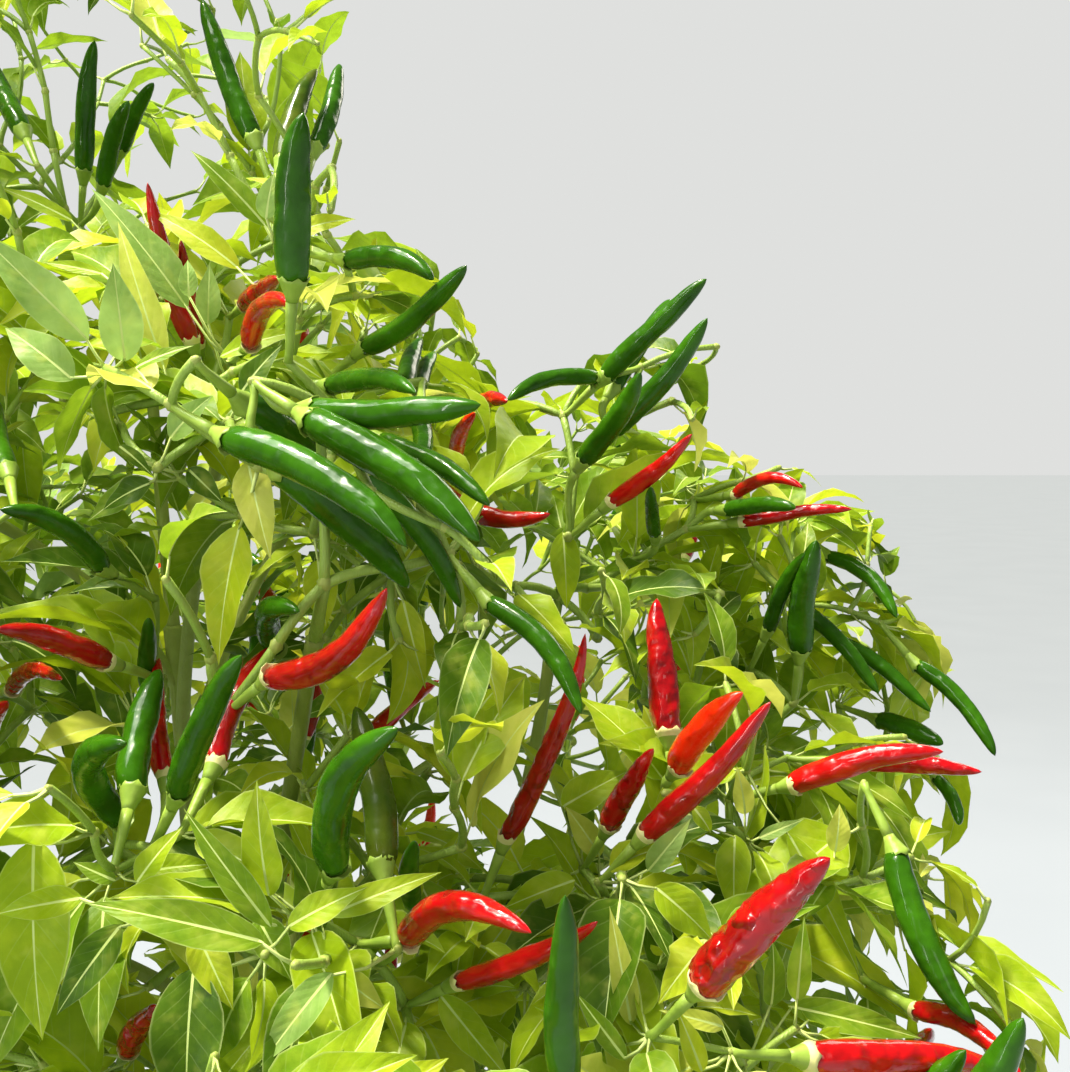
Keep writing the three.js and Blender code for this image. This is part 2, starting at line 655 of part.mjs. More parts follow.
// A leaf: folded up along its rib, with a drooping tip, from a face of the knot.
function growLeaf(skin, fork, face, space, random) {
  const out = wayTo(vector(CROWN_HEART), fork.place);
  const way = face.way.clone().addScaledVector(out, LEAF_WAY.outward * random());
  way.z -= LEAF_WAY.hang * random();
  way.normalize();
  if (way.dot(face.way) < LEAF_WAY.slant) return false;
  const long = lerp(...LEAF.long, random());
  const up = vector([random() - 0.5, random() - 0.5, 0]).multiplyScalar(LEAF_WAY.roll);
  up.add(vector([0, 0, 1])).addScaledVector(out, LEAF_WAY.outward);
  const side = up.clone().cross(way).normalize();
  const top = way.clone().cross(side);
  const spot = (along, aside, lift) => {
    const place = fork.place.clone().addScaledVector(way, along * long);
    return place.addScaledVector(side, aside * long).addScaledVector(top, lift * long);
  };
  const { widest, wide, thick, fold, droop } = LEAF;
  const [left, right] = [spot(widest, wide / 2, fold), spot(widest, -wide / 2, fold)];
  const [over, under] = [spot(widest, 0, thick / 2), spot(widest, 0, -thick / 2)];
  const tip = spot(1, 0, -droop);
  const lines = [left, left.clone().lerp(over, 0.5), over, right.clone().lerp(over, 0.5), right];
  const meets = (from, to) => meetsWood(from, to, LEAF_WAY.clear);
  if (lines.some((place) => meets(fork.place, place) || meets(place, tip))) return false;
  const grown = skin.grow([face.corners], () => {
    skin.close(skin.bridge(face.corners, skin.ring([left, over, right, under])), tip);
  }, (place) => space.holds(place));
  face.free = !grown;
  return grown;
}

// A pod out of the photograph's sight: it rises and points away from the plant's middle.
function sparePod(place, space, random) {
  const out = place.clone().sub(vector(CROWN_HEART));
  for (let attempt = 0; attempt < POD_SPARE.tries; attempt++) {
    const turn = Math.atan2(out.y, out.x) + (random() - 0.5) * POD_SPARE.swing;
    const rise = lerp(...POD_SPARE.rise, random());
    const flat = Math.cos(rise);
    const way = vector([flat * Math.cos(turn), flat * Math.sin(turn), Math.sin(rise)]);
    const cap = place.clone().addScaledVector(way, POD.stalk);
    const tip = cap.clone().addScaledVector(way, lerp(...POD_SPARE.long, random()));
    const pod = podFrom(cap, tip);
    if (podHolds(space, pod)) return pod;
  }
  return null;
}

// Sets a new fork's knot and grows the twig to it, or leaves the skin as it was.
function growFork(skin, fork, random) {
  const [places, faces] = [skin.places.length, skin.faces];
  skin.faces = [...faces];
  setKnot(skin, fork);
  if (growTwig(skin, fork, random)) return true;
  skin.places.length = places;
  skin.faces = faces;
  return false;
}

function growLeaves(skin, fork, space, random) {
  let borne = 0;
  const downwards = fork.faces.filter(({ free }) => free).sort((a, b) => b.way.z - a.way.z);
  for (const face of downwards) {
    for (let attempt = 0; attempt < LEAF_WAY.tries && borne < LEAF_WAY.together; attempt++) {
      if (!growLeaf(skin, fork, face, space, random)) continue;
      borne += 1;
      break;
    }
  }
}

// A mass of foliage: one skin that starts at a flat butt, a gap away from the tip of its bough.
function foliage(mass, seed) {
  const random = seeded(seed);
  const space = spaces.get(mass.name);
  const { root, forks } = forksOf(mass, space, random);
  for (const { place, pods } of forks) {
    if (pods.length > 0 || random() > POD_SPARE.chance) continue;
    const spare = sparePod(place, space, random);
    if (spare) pods.push(spare);
  }
  const skin = new Skin();
  const [first, ...others] = forks;
  setKnot(skin, first);
  const butt = ringAt(root, first.way, TWIG.stem, 3);
  skin.grow([first.faces[0].corners], () => {
    const foot = skin.ring(butt);
    skin.face(...[...foot].reverse());
    skin.bridge(foot, [...first.faces[0].corners].reverse());
  });
  first.faces[0].free = false;
  const grown = [first];
  for (const fork of others) {
    if (grown.includes(fork.from) && growFork(skin, fork, random)) grown.push(fork);
  }
  for (const fork of grown) fork.pods.forEach((pod) => growPod(skin, fork, pod, space, random));
  for (const fork of grown) growLeaves(skin, fork, space, random);
  return skin.solid();
}

const plant = new THREE.Group();
for (const { name, body } of wood.values()) {
  plant.add(named(name, body, name.startsWith("bough") ? GREEN_WOOD : BARK));
}
MASSES.forEach((mass, index) => {
  plant.add(named(`foliage_${mass.name}`, foliage(mass, FIRST_SEED + index), FOLIAGE));
});

export default plant;
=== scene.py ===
import math

import bpy
import numpy as np
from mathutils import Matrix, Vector, noise
from mathutils.kdtree import KDTree


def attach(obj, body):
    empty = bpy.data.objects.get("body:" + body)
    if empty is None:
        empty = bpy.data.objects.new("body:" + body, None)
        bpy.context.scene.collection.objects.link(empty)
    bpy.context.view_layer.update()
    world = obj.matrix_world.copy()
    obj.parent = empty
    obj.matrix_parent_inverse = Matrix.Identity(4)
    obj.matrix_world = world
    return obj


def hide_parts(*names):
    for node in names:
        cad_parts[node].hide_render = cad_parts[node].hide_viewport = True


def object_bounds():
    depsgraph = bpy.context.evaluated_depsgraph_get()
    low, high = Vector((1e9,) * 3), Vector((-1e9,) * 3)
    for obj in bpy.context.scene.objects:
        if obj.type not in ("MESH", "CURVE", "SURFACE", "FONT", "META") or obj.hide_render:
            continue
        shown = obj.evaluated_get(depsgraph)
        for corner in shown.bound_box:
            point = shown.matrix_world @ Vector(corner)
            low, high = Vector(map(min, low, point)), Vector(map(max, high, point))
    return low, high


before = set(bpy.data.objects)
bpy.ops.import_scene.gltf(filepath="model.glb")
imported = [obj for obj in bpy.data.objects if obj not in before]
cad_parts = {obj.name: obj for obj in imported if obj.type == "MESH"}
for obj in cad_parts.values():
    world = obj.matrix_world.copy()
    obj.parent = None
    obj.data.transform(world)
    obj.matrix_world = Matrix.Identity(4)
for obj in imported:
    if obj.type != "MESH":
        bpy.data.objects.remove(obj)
cad_low, cad_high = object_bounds()

# The camera stands where the photograph was taken from: close before the crown, level with its
# upper part and tilted a little down. Pixels are counted in a picture of 1070 by 1072.
VIEW_EYE = Vector((0.160, -0.640, 0.700))
VIEW_TILT = math.radians(4)
VIEW_ACROSS, VIEW_DOWN = 1070, 1072
VIEW_REACH = 1294
VIEW_SENSOR = 36
bpy.ops.object.select_all(action="DESELECT")
bpy.ops.object.camera_add(location=VIEW_EYE, rotation=(math.radians(90) - VIEW_TILT, 0, 0))
camera = bpy.context.object
camera.data.sensor_fit = "HORIZONTAL"
camera.data.sensor_width = VIEW_SENSOR
camera.data.lens = VIEW_SENSOR * VIEW_REACH / VIEW_ACROSS
camera.data.clip_start = 0.02
bpy.context.scene.camera = camera
VIEW_AHEAD = Vector((0, math.cos(VIEW_TILT), -math.sin(VIEW_TILT)))
VIEW_UP = Vector((0, math.sin(VIEW_TILT), math.cos(VIEW_TILT)))
VIEW_SIDE = Vector((1, 0, 0))


def seen(pixel, far):
    """The place that shows at a pixel, so far ahead of the eye."""
    side = (pixel[0] - VIEW_ACROSS / 2) / VIEW_REACH
    rise = (VIEW_DOWN / 2 - pixel[1]) / VIEW_REACH
    return VIEW_EYE + far * (VIEW_AHEAD + side * VIEW_SIDE + rise * VIEW_UP)


def pictured(places):
    """The pixels and distances at which places show."""
    offsets = np.asarray(places, float) - np.array(VIEW_EYE)
    far = np.maximum(offsets @ np.array(VIEW_AHEAD), 1e-3)
    columns = VIEW_ACROSS / 2 + VIEW_REACH * (offsets @ np.array(VIEW_SIDE)) / far
    rows = VIEW_DOWN / 2 - VIEW_REACH * (offsets @ np.array(VIEW_UP)) / far
    return columns, rows, far


# Main stem and limbs: a short woody stem with a root flare, which forks into five tapering limbs.
# Wood of one season: dull brown bark with long fissures at the foot, olive and then green above.
# One skin covers them, so that each crotch is a smooth saddle, with a swelling at every node.
STEM_TOP = Vector((0.007, -0.004, 0.214))
STEM_UPRIGHT = 0.45
STEM_RADII = (0.0094, 0.0072)
STEM_NODE = (0.0014, 0.94, 0.07)
FLARE_SWELL, FLARE_HEIGHT = 0.0052, 0.016
LIMB_RADII = (0.006, 0.0043)
LIMB_NODE = (0.0009, 1, 0.06)
LIMBS = [
    ("limb_top", 0.97, (-0.022, 0.006, 0.610), 0.004),
    ("limb_front", 0.90, (0.052, -0.122, 0.500), 0.026),
    ("limb_left", 0.86, (-0.136, -0.008, 0.470), 0.030),
    ("limb_right", 0.93, (0.142, -0.042, 0.478), 0.030),
    ("limb_back", 0.82, (0.018, 0.132, 0.462), 0.028),
]
WOOD_VOXEL = 0.0014
WOOD_SAMPLES = 160
WOOD_AGES = {"main": (1, 0.82), "limb": (0.8, 0.2), "bough": (0.25, 0)}
FISSURE_DEPTH, FISSURE_ROUND, FISSURE_DOWN = 0.0006, 3.2, 34
GRAIN_ROUND, GRAIN_DOWN = 8, 90
RIB_DEPTH, RIBS_ROUND = 0.00018, 5
STEM_RINGS, LIMB_RINGS, LIMB_SIDES = 60, 48, 24


def along(curve, u):
    start, middle, end = curve
    return start * (1 - u) ** 2 + middle * (2 * u * (1 - u)) + end * u**2


def heading(curve, u):
    start, middle, end = curve
    return ((middle - start) * (1 - u) + (end - middle) * u).normalized()


def square_to(way):
    """Two directions square to a way and to each other."""
    side = Vector((1, 0, 0)) if abs(way.x) < abs(way.z) else Vector((0, 0, 1))
    first = (side - way * side.dot(way)).normalized()
    return first, way.cross(first)


def taper(radii, node):
    """A radius that tapers along a limb and swells at a node."""
    swell, at, spread = node
    return lambda u: radii[0] + (radii[1] - radii[0]) * u + swell * math.exp(-(((at - u) / spread) ** 2))


def stem_radius(u):
    flare = FLARE_SWELL * math.exp(-u * STEM_TOP.z / FLARE_HEIGHT)
    return taper(STEM_RADII, STEM_NODE)(u) + flare


stem_curve = (Vector((0, 0, 0)), Vector((0, 0, STEM_TOP.z * STEM_UPRIGHT)), STEM_TOP)
wood = {"main_stem": (stem_curve, stem_radius)}
for name, at, end, sag in LIMBS:
    root, tip = along(stem_curve, at), Vector(end)
    limb_curve = (root, root.lerp(tip, 0.5) - Vector((0, 0, sag)), tip)
    wood[name] = (limb_curve, taper(LIMB_RADII, LIMB_NODE))


def add_rod(curve, radius_at, sides, rings):
    """A cylinder, cut into rings and bent along a curve."""
    bpy.ops.object.select_all(action="DESELECT")
    bpy.ops.mesh.primitive_cylinder_add(vertices=sides, radius=1, depth=1)
    rod = bpy.context.object
    bpy.ops.object.mode_set(mode="EDIT")
    bpy.ops.mesh.select_mode(type="EDGE")
    bpy.ops.mesh.select_all(action="DESELECT")
    bpy.ops.object.mode_set(mode="OBJECT")
    places = [vertex.co.copy() for vertex in rod.data.vertices]
    for edge in rod.data.edges:
        edge.select = abs(places[edge.vertices[0]].z - places[edge.vertices[1]].z) > 0.5
    bpy.ops.object.mode_set(mode="EDIT")
    bpy.ops.mesh.subdivide(number_cuts=rings - 1)
    bpy.ops.object.mode_set(mode="OBJECT")
    for vertex in rod.data.vertices:
        u = min(max(vertex.co.z + 0.5, 0), 1)
        first, second = square_to(heading(curve, u))
        spread = first * vertex.co.x + second * vertex.co.y
        vertex.co = along(curve, u) + spread * radius_at(u)
    return rod


def joined_rods(name, rods):
    bpy.ops.object.select_all(action="DESELECT")
    for rod in rods:
        rod.select_set(True)
    bpy.context.view_layer.objects.active = rods[0]
    bpy.ops.object.join()
    piece = bpy.context.object
    piece.name = name
    return piece


def one_skin(piece, voxel):
    """Melts crossing rods into one skin with smooth crotches."""
    melt = piece.modifiers.new("Melt", "REMESH")
    melt.mode, melt.voxel_size = "VOXEL", voxel
    bpy.ops.object.modifier_apply(modifier="Melt")
    smooth = piece.modifiers.new("Smooth", "SMOOTH")
    smooth.factor, smooth.iterations = 0.5, 5
    bpy.ops.object.modifier_apply(modifier="Smooth")
    bpy.ops.object.shade_smooth()


def bark_relief(piece, names, deepest):
    """Fissures along old wood and fine ribs along young wood. Stores how old the wood is."""
    samples = []
    for name in names:
        curve, _ = wood[name]
        old_foot, old_tip = WOOD_AGES[name.split("_")[0]]
        for i in range(WOOD_SAMPLES + 1):
            u = i / WOOD_SAMPLES
            samples.append((curve, u, old_foot + (old_tip - old_foot) * u))
    tree = KDTree(len(samples))
    for i, (curve, u, _) in enumerate(samples):
        tree.insert(along(curve, u), i)
    tree.balance()
    ages = []
    normals = [vertex.normal.copy() for vertex in piece.data.vertices]
    for vertex, normal in zip(piece.data.vertices, normals):
        centre, i, _ = tree.find(vertex.co)
        curve, u, old = samples[i]
        way = heading(curve, u)
        first, second = square_to(way)
        spread = vertex.co - centre
        turn = math.atan2(spread.dot(second), spread.dot(first))
        down = (vertex.co - curve[0]).length
        ring = Vector((math.cos(turn), math.sin(turn), 0))
        fissure = noise.noise(ring * FISSURE_ROUND + Vector((0, 0, down * FISSURE_DOWN)))
        grain = noise.noise(ring * GRAIN_ROUND + Vector((7, 3, down * GRAIN_DOWN)))
        depth = deepest * old * (0.75 * abs(fissure) + 0.35 * grain)
        rib = RIB_DEPTH * (1 - old) * math.cos(RIBS_ROUND * turn + 2 * math.sin(down * 30))
        if vertex.co.z > 0.002:
            vertex.co = vertex.co - normal * (depth - rib)
        vertex.co.z = max(vertex.co.z, 0)
        ages.append(min(max(old + 0.25 * fissure, 0), 1))
    piece.data.attributes.new("age", "FLOAT", "POINT").data.foreach_set("value", ages)


rods = [
    add_rod(curve, radius_at, LIMB_SIDES, STEM_RINGS if name == "main_stem" else LIMB_RINGS)
    for name, (curve, radius_at) in wood.items()
]
stem_and_limbs = joined_rods("stem_and_limbs", rods)
one_skin(stem_and_limbs, WOOD_VOXEL)
bark_relief(stem_and_limbs, list(wood), FISSURE_DEPTH)


def paint(code):
    """A colour that is written as it looks on a screen."""
    shares = [int(code[i : i + 2], 16) / 255 for i in (1, 3, 5)]
    return [(c / 12.92 if c <= 0.04045 else ((c + 0.055) / 1.055) ** 2.4) for c in shares] + [1]


class Value:
    """What comes out of a node, which can be reckoned with."""

    def __init__(self, finish, socket):
        self.finish, self.socket = finish, socket

    def reckon(self, operation, *values):
        return self.finish.node("Math", {"operation": operation}, dict(enumerate(values)))

    def __add__(self, other):
        return self.reckon("ADD", self, other)

    def __sub__(self, other):
        return self.reckon("SUBTRACT", self, other)

    def __rsub__(self, other):
        return self.reckon("SUBTRACT", other, self)

    def __mul__(self, other):
        return self.reckon("MULTIPLY", self, other)

    def __abs__(self):
        return self.reckon("ABSOLUTE", self)

    def pingpong(self, top):
        return self.reckon("PINGPONG", self, top)

    def kept(self):
        """The value, cut off at 0 and at 1."""
        return self.reckon("MINIMUM", self.reckon("MAXIMUM", self, 0.0), 1.0)

    __radd__, __rmul__ = __add__, __mul__


class Finish:
    """A material that is put together from expressions."""

    def __init__(self, name, **constants):
        self.material = bpy.data.materials.new(name)
        self.material.use_nodes = True
        self.tree = self.material.node_tree
        self.shader = self.tree.nodes["Principled BSDF"]
        for socket, value in constants.items():
            self.shader.inputs[socket.replace("_", " ")].default_value = value

    def feed(self, socket, value):
        if isinstance(value, Value):
            self.tree.links.new(value.socket, socket)
        else:
            socket.default_value = value

    def node(self, kind, settings=None, sockets=None, output=0):
        made = self.tree.nodes.new("ShaderNode" + kind)
        for key, value in (settings or {}).items():
            setattr(made, key, value)
        for key, value in (sockets or {}).items():
            self.feed(made.inputs[key], value)
        return Value(self, made.outputs[output])

    def place(self):
        return self.node("TexCoord", output="Object")

    def grain(self, scale, detail, roughness=0.5, place=None):
        sockets = {"Vector": place or self.place(), "Scale": scale, "Detail": detail, "Roughness": roughness}
        return self.node("TexNoise", {}, sockets)

    def stretched(self, scale):
        return self.node("Mapping", {}, {"Vector": self.place(), "Scale": scale})

    def stored(self, name):
        return self.node("Attribute", {"attribute_name": name}, output="Fac")

    def mixed(self, factor, first, second):
        settings = {"data_type": "RGBA"}
        return self.node("Mix", settings, {"Factor": factor, 6: first, 7: second}, output=2)

    def bump(self, height, depth):
        return self.node("Bump", {}, {"Height": height, "Distance": depth, "Strength": 1.0})

    def glow_through(self, colour, share):
        """Lets light through the surface, as through a leaf."""
        thin = self.node("BsdfTranslucent", {}, {"Color": colour})
        solid = Value(self, self.shader.outputs["BSDF"])
        both = self.node("MixShader", {}, {0: share, 1: solid, 2: thin})
        self.feed(self.tree.nodes["Material Output"].inputs["Surface"], both)

    def dress(self, **sockets):
        for socket, value in sockets.items():
            self.feed(self.shader.inputs[socket.replace("_", " ")], value)


bark = Finish("bark", IOR=1.45)
age = bark.stored("age")
blotches = bark.grain(160, 3)
fibres = bark.grain(1.0, 3, 0.6, bark.stretched((900, 900, 90)))
young = bark.mixed(blotches, paint("#7d9138"), paint("#9aa84e"))
dull = bark.mixed(fibres, paint("#6f6a42"), paint("#94875c"))
dull = bark.mixed(blotches * 0.5, dull, paint("#57503a"))
bark.dress(
    Base_Color=bark.mixed((age * 1.6 - 0.35).kept(), young, dull),
    Roughness=0.5 + age * 0.35,
    Normal=bark.bump(fibres, 0.0005),
)
stem_and_limbs.data.materials.clear()
stem_and_limbs.data.materials.append(bark.material)
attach(stem_and_limbs, "root")
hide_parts("main_stem", *[name for name, *_ in LIMBS])

# Boughs: one from a limb, or from the stem, to each mass of foliage. Green wood, faintly ribbed,
# which bends over from its limb's own way and ends in a swollen node just inside the mass.
# A mass keeps to its side of the planes that part it from its neighbours, and within its reach.
BOUGH_RADII = (0.0036, 0.0027)
BOUGH_NODE = (0.0005, 1, 0.06)
BOUGH_LEAST, BOUGH_SUNK, BOUGH_MOST = 0.045, 0.016, 0.72
BOUGH_LEAD, BOUGH_BEND = 0.55, 0.45
BOUGH_SIDES, BOUGH_RINGS = 14, 40
MASSES = {
    "top": ("limb_top", 0.99, (-0.045, 0.025, 0.850), (0.138, 0.135, 0.132)),
    "top_front": ("limb_top", 0.86, (0.050, -0.130, 0.785), (0.122, 0.120, 0.112)),
    "upper_left": ("limb_top", 0.92, (-0.160, -0.075, 0.745), (0.128, 0.128, 0.128)),
    "upper_back": ("limb_top", 0.80, (0.050, 0.125, 0.745), (0.138, 0.130, 0.130)),
    "front": ("limb_front", 0.98, (0.095, -0.215, 0.688), (0.118, 0.120, 0.098)),
    "front_low": ("limb_front", 0.90, (0.085, -0.235, 0.545), (0.125, 0.120, 0.110)),
    "front_left": ("limb_front", 0.80, (-0.100, -0.200, 0.590), (0.132, 0.135, 0.138)),
    "upper_right": ("limb_right", 0.98, (0.185, -0.050, 0.690), (0.114, 0.118, 0.102)),
    "right": ("limb_right", 0.90, (0.300, -0.015, 0.575), (0.102, 0.130, 0.120)),
    "right_front": ("limb_right", 0.82, (0.230, -0.190, 0.540), (0.124, 0.130, 0.125)),
    "back_right": ("limb_back", 0.90, (0.185, 0.175, 0.590), (0.142, 0.140, 0.142)),
    "back": ("limb_back", 0.98, (-0.010, 0.250, 0.560), (0.138, 0.125, 0.145)),
    "back_left": ("limb_left", 0.90, (-0.185, 0.135, 0.630), (0.138, 0.138, 0.142)),
    "left": ("limb_left", 0.98, (-0.270, -0.045, 0.560), (0.122, 0.142, 0.142)),
    "right_low": ("main_stem", 0.72, (0.215, 0.010, 0.365), (0.150, 0.150, 0.135)),
    "left_low": ("main_stem", 0.64, (-0.190, 0.055, 0.355), (0.150, 0.150, 0.135)),
    "front_under": ("main_stem", 0.80, (-0.015, -0.185, 0.365), (0.145, 0.140, 0.135)),
    "back_low": ("main_stem", 0.56, (0.045, 0.195, 0.350), (0.150, 0.135, 0.132)),
}
SPACE_MARGIN = 0.0006
GROWN_GAP = 0.0003


class Space:
    """The room that a mass of foliage keeps to."""

    def __init__(self, name):
        _, _, centre, reach = MASSES[name]
        self.centre, self.reach = np.array(centre), np.array(reach)
        size = self.reach @ self.reach / 3
        aways, limits = [], []
        for other, (_, _, far_centre, far_reach) in MASSES.items():
            if other == name:
                continue
            away = np.array(far_centre) - self.centre
            apart = np.linalg.norm(away)
            far_size = np.array(far_reach) @ np.array(far_reach) / 3
            aways.append(away / apart)
            limits.append((apart**2 + size - far_size) / (2 * apart) - SPACE_MARGIN)
        self.aways, self.limits = np.array(aways), np.array(limits)

    def past(self, place):
        """How far a place lies past the plane that it is furthest past, and which plane that is."""
        over = self.aways @ (np.asarray(place) - self.centre) - self.limits
        worst = int(over.argmax())
        return over[worst], worst

    def share(self, place):
        """How far out a place is, as a share of the reach."""
        return float(np.linalg.norm((np.asarray(place) - self.centre) / self.reach))

    def holds(self, place):
        return self.past(place)[0] < 0 and self.share(place) < 1


spaces = {name: Space(name) for name in MASSES}


def bough_curve(name):
    carrier, at, *_ = MASSES[name]
    root = along(wood[carrier][0], at)
    way = Vector(spaces[name].centre) - root
    whole = way.length
    way.normalize()
    entry = 0.0
    while entry < whole and not spaces[name].holds(root + way * entry):
        entry += 0.002
    length = min(max(entry + BOUGH_SUNK, BOUGH_LEAST), whole * BOUGH_MOST)
    lead = heading(wood[carrier][0], at).lerp(way, BOUGH_LEAD).normalized()
    return (root, root + lead * (length * BOUGH_BEND), root + way * length)


for name in MASSES:
    wood[f"bough_{name}"] = (bough_curve(name), taper(BOUGH_RADII, BOUGH_NODE))
bough_names = [f"bough_{name}" for name in MASSES]
boughs = joined_rods("boughs", [add_rod(*wood[name], BOUGH_SIDES, BOUGH_RINGS) for name in bough_names])
bpy.ops.object.shade_smooth()
bark_relief(boughs, bough_names, FISSURE_DEPTH / 2)
boughs.data.materials.clear()
boughs.data.materials.append(bark.material)
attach(boughs, "root")
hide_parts(*bough_names)

# Pods: slim glossy chillies of 38 to 85 mm, each on a stalk from a fork. The rows give those that
# the photograph shows: the pixels of cap and tip, how far the cap is from the eye, the length, the
# way that the tip leans, the greatest width, the bow to the left on the way to the tip, and colour.
POD_STALK = 0.027
POD_RADIUS = 0.095
POD_HEART = 0.4
POD_OVERHANG = 1.16
AWAY, NEAR = 1, -1
PODS_SEEN = [
    ((255, 140), (204, -2), 0.600, 0.072, AWAY, 0.0111, 0.03, "green"),
    ((84, 173), (94, 40), 0.660, 0.070, NEAR, 0.0100, 0.02, "green"),
    ((293, 283), (303, 112), 0.425, 0.060, NEAR, 0.0122, 0.03, "green"),
    ((283, 165), (318, 69), 0.520, 0.050, AWAY, 0.0100, 0.05, "olive"),
    ((192, 342), (149, 182), 0.540, 0.072, NEAR, 0.0090, 0.04, "crimson"),
    ((347, 261), (434, 279), 0.500, 0.045, NEAR, 0.0085, 0.10, "green"),
    ((364, 348), (466, 264), 0.500, 0.060, NEAR, 0.0088, -0.06, "green"),
    ((227, 439), (406, 548), 0.400, 0.074, NEAR, 0.0112, 0.07, "green"),
    ((309, 420), (481, 540), 0.405, 0.074, NEAR, 0.0120, 0.04, "green"),
    ((242, 402), (320, 470), 0.425, 0.056, AWAY, 0.0108, 0.05, "green"),
    ((278, 466), (409, 588), 0.420, 0.068, AWAY, 0.0120, 0.03, "green"),
    ((365, 470), (462, 607), 0.440, 0.062, AWAY, 0.0085, 0.05, "green"),
    ((312, 409), (481, 403), 0.410, 0.060, NEAR, 0.0095, -0.04, "green"),
    ((379, 440), (491, 504), 0.455, 0.058, NEAR, 0.0075, 0.04, "green"),
    ((102, 568), (0, 509), 0.460, 0.054, NEAR, 0.0085, -0.12, "green"),
    ((108, 662), (-4, 628), 0.450, 0.056, NEAR, 0.0090, -0.04, "crimson"),
    ((270, 678), (387, 588), 0.430, 0.060, NEAR, 0.0108, -0.12, "crimson"),
    ((132, 793), (162, 669), 0.420, 0.052, AWAY, 0.0108, 0.06, "green"),
    ((178, 795), (244, 656), 0.410, 0.058, NEAR, 0.0095, 0.04, "green"),
    ((120, 820), (129, 744), 0.430, 0.054, NEAR, 0.0105, 0.22, "green"),
    ((334, 868), (396, 727), 0.390, 0.060, NEAR, 0.0118, 0.12, "green"),
    ((382, 866), (353, 707), 0.410, 0.060, AWAY, 0.0110, -0.05, "olive"),
    ((435, 484), (551, 512), 0.560, 0.060, NEAR, 0.0098, -0.14, "crimson"),
    ((596, 378), (507, 399), 0.580, 0.050, NEAR, 0.0080, -0.08, "green"),
    ((605, 377), (708, 280), 0.580, 0.068, NEAR, 0.0102, 0.02, "green"),
    ((612, 432), (709, 319), 0.570, 0.070, NEAR, 0.0102, -0.03, "green"),
    ((611, 502), (693, 435), 0.560, 0.052, NEAR, 0.0085, -0.03, "red"),
    ((741, 522), (852, 508), 0.600, 0.056, NEAR, 0.0068, 0.02, "crimson"),
    ((800, 652), (815, 540), 0.590, 0.056, NEAR, 0.0120, 0.03, "green"),
    ((792, 602), (880, 693), 0.620, 0.066, NEAR, 0.0080, 0.05, "green"),
    ((838, 640), (931, 712), 0.630, 0.062, NEAR, 0.0075, 0.05, "green"),
    ((916, 665), (994, 757), 0.620, 0.064, NEAR, 0.0082, 0.10, "green"),
    ((936, 778), (958, 825), 0.640, 0.038, NEAR, 0.0070, 0.10, "green"),
    ((506, 838), (585, 633), 0.470, 0.084, NEAR, 0.0085, -0.04, "wrinkled"),
    ((669, 735), (658, 598), 0.500, 0.056, AWAY, 0.0124, 0.02, "crimson"),
    ((678, 768), (744, 693), 0.480, 0.046, NEAR, 0.0118, 0.06, "orange"),
    ((645, 835), (773, 703), 0.460, 0.070, NEAR, 0.0100, -0.02, "crimson"),
    ((489, 603), (582, 714), 0.450, 0.058, NEAR, 0.0080, 0.10, "green"),
    ((792, 785), (943, 750), 0.510, 0.066, NEAR, 0.0108, 0.05, "red"),
    ((850, 762), (982, 771), 0.540, 0.060, NEAR, 0.0092, 0.02, "crimson"),
    ((896, 852), (977, 1024), 0.470, 0.074, NEAR, 0.0113, -0.08, "green"),
    ((703, 985), (832, 859), 0.370, 0.058, NEAR, 0.0146, 0.03, "wrinkled"),
    ((805, 1057), (1010, 1070), 0.400, 0.070, AWAY, 0.0115, 0.02, "red"),
    ((407, 940), (531, 931), 0.400, 0.056, NEAR, 0.0100, 0.16, "crimson"),
    ((458, 982), (597, 920), 0.420, 0.060, NEAR, 0.0078, -0.04, "crimson"),
    ((566, 1085), (567, 895), 0.345, 0.056, NEAR, 0.0094, 0.02, "dark"),
]
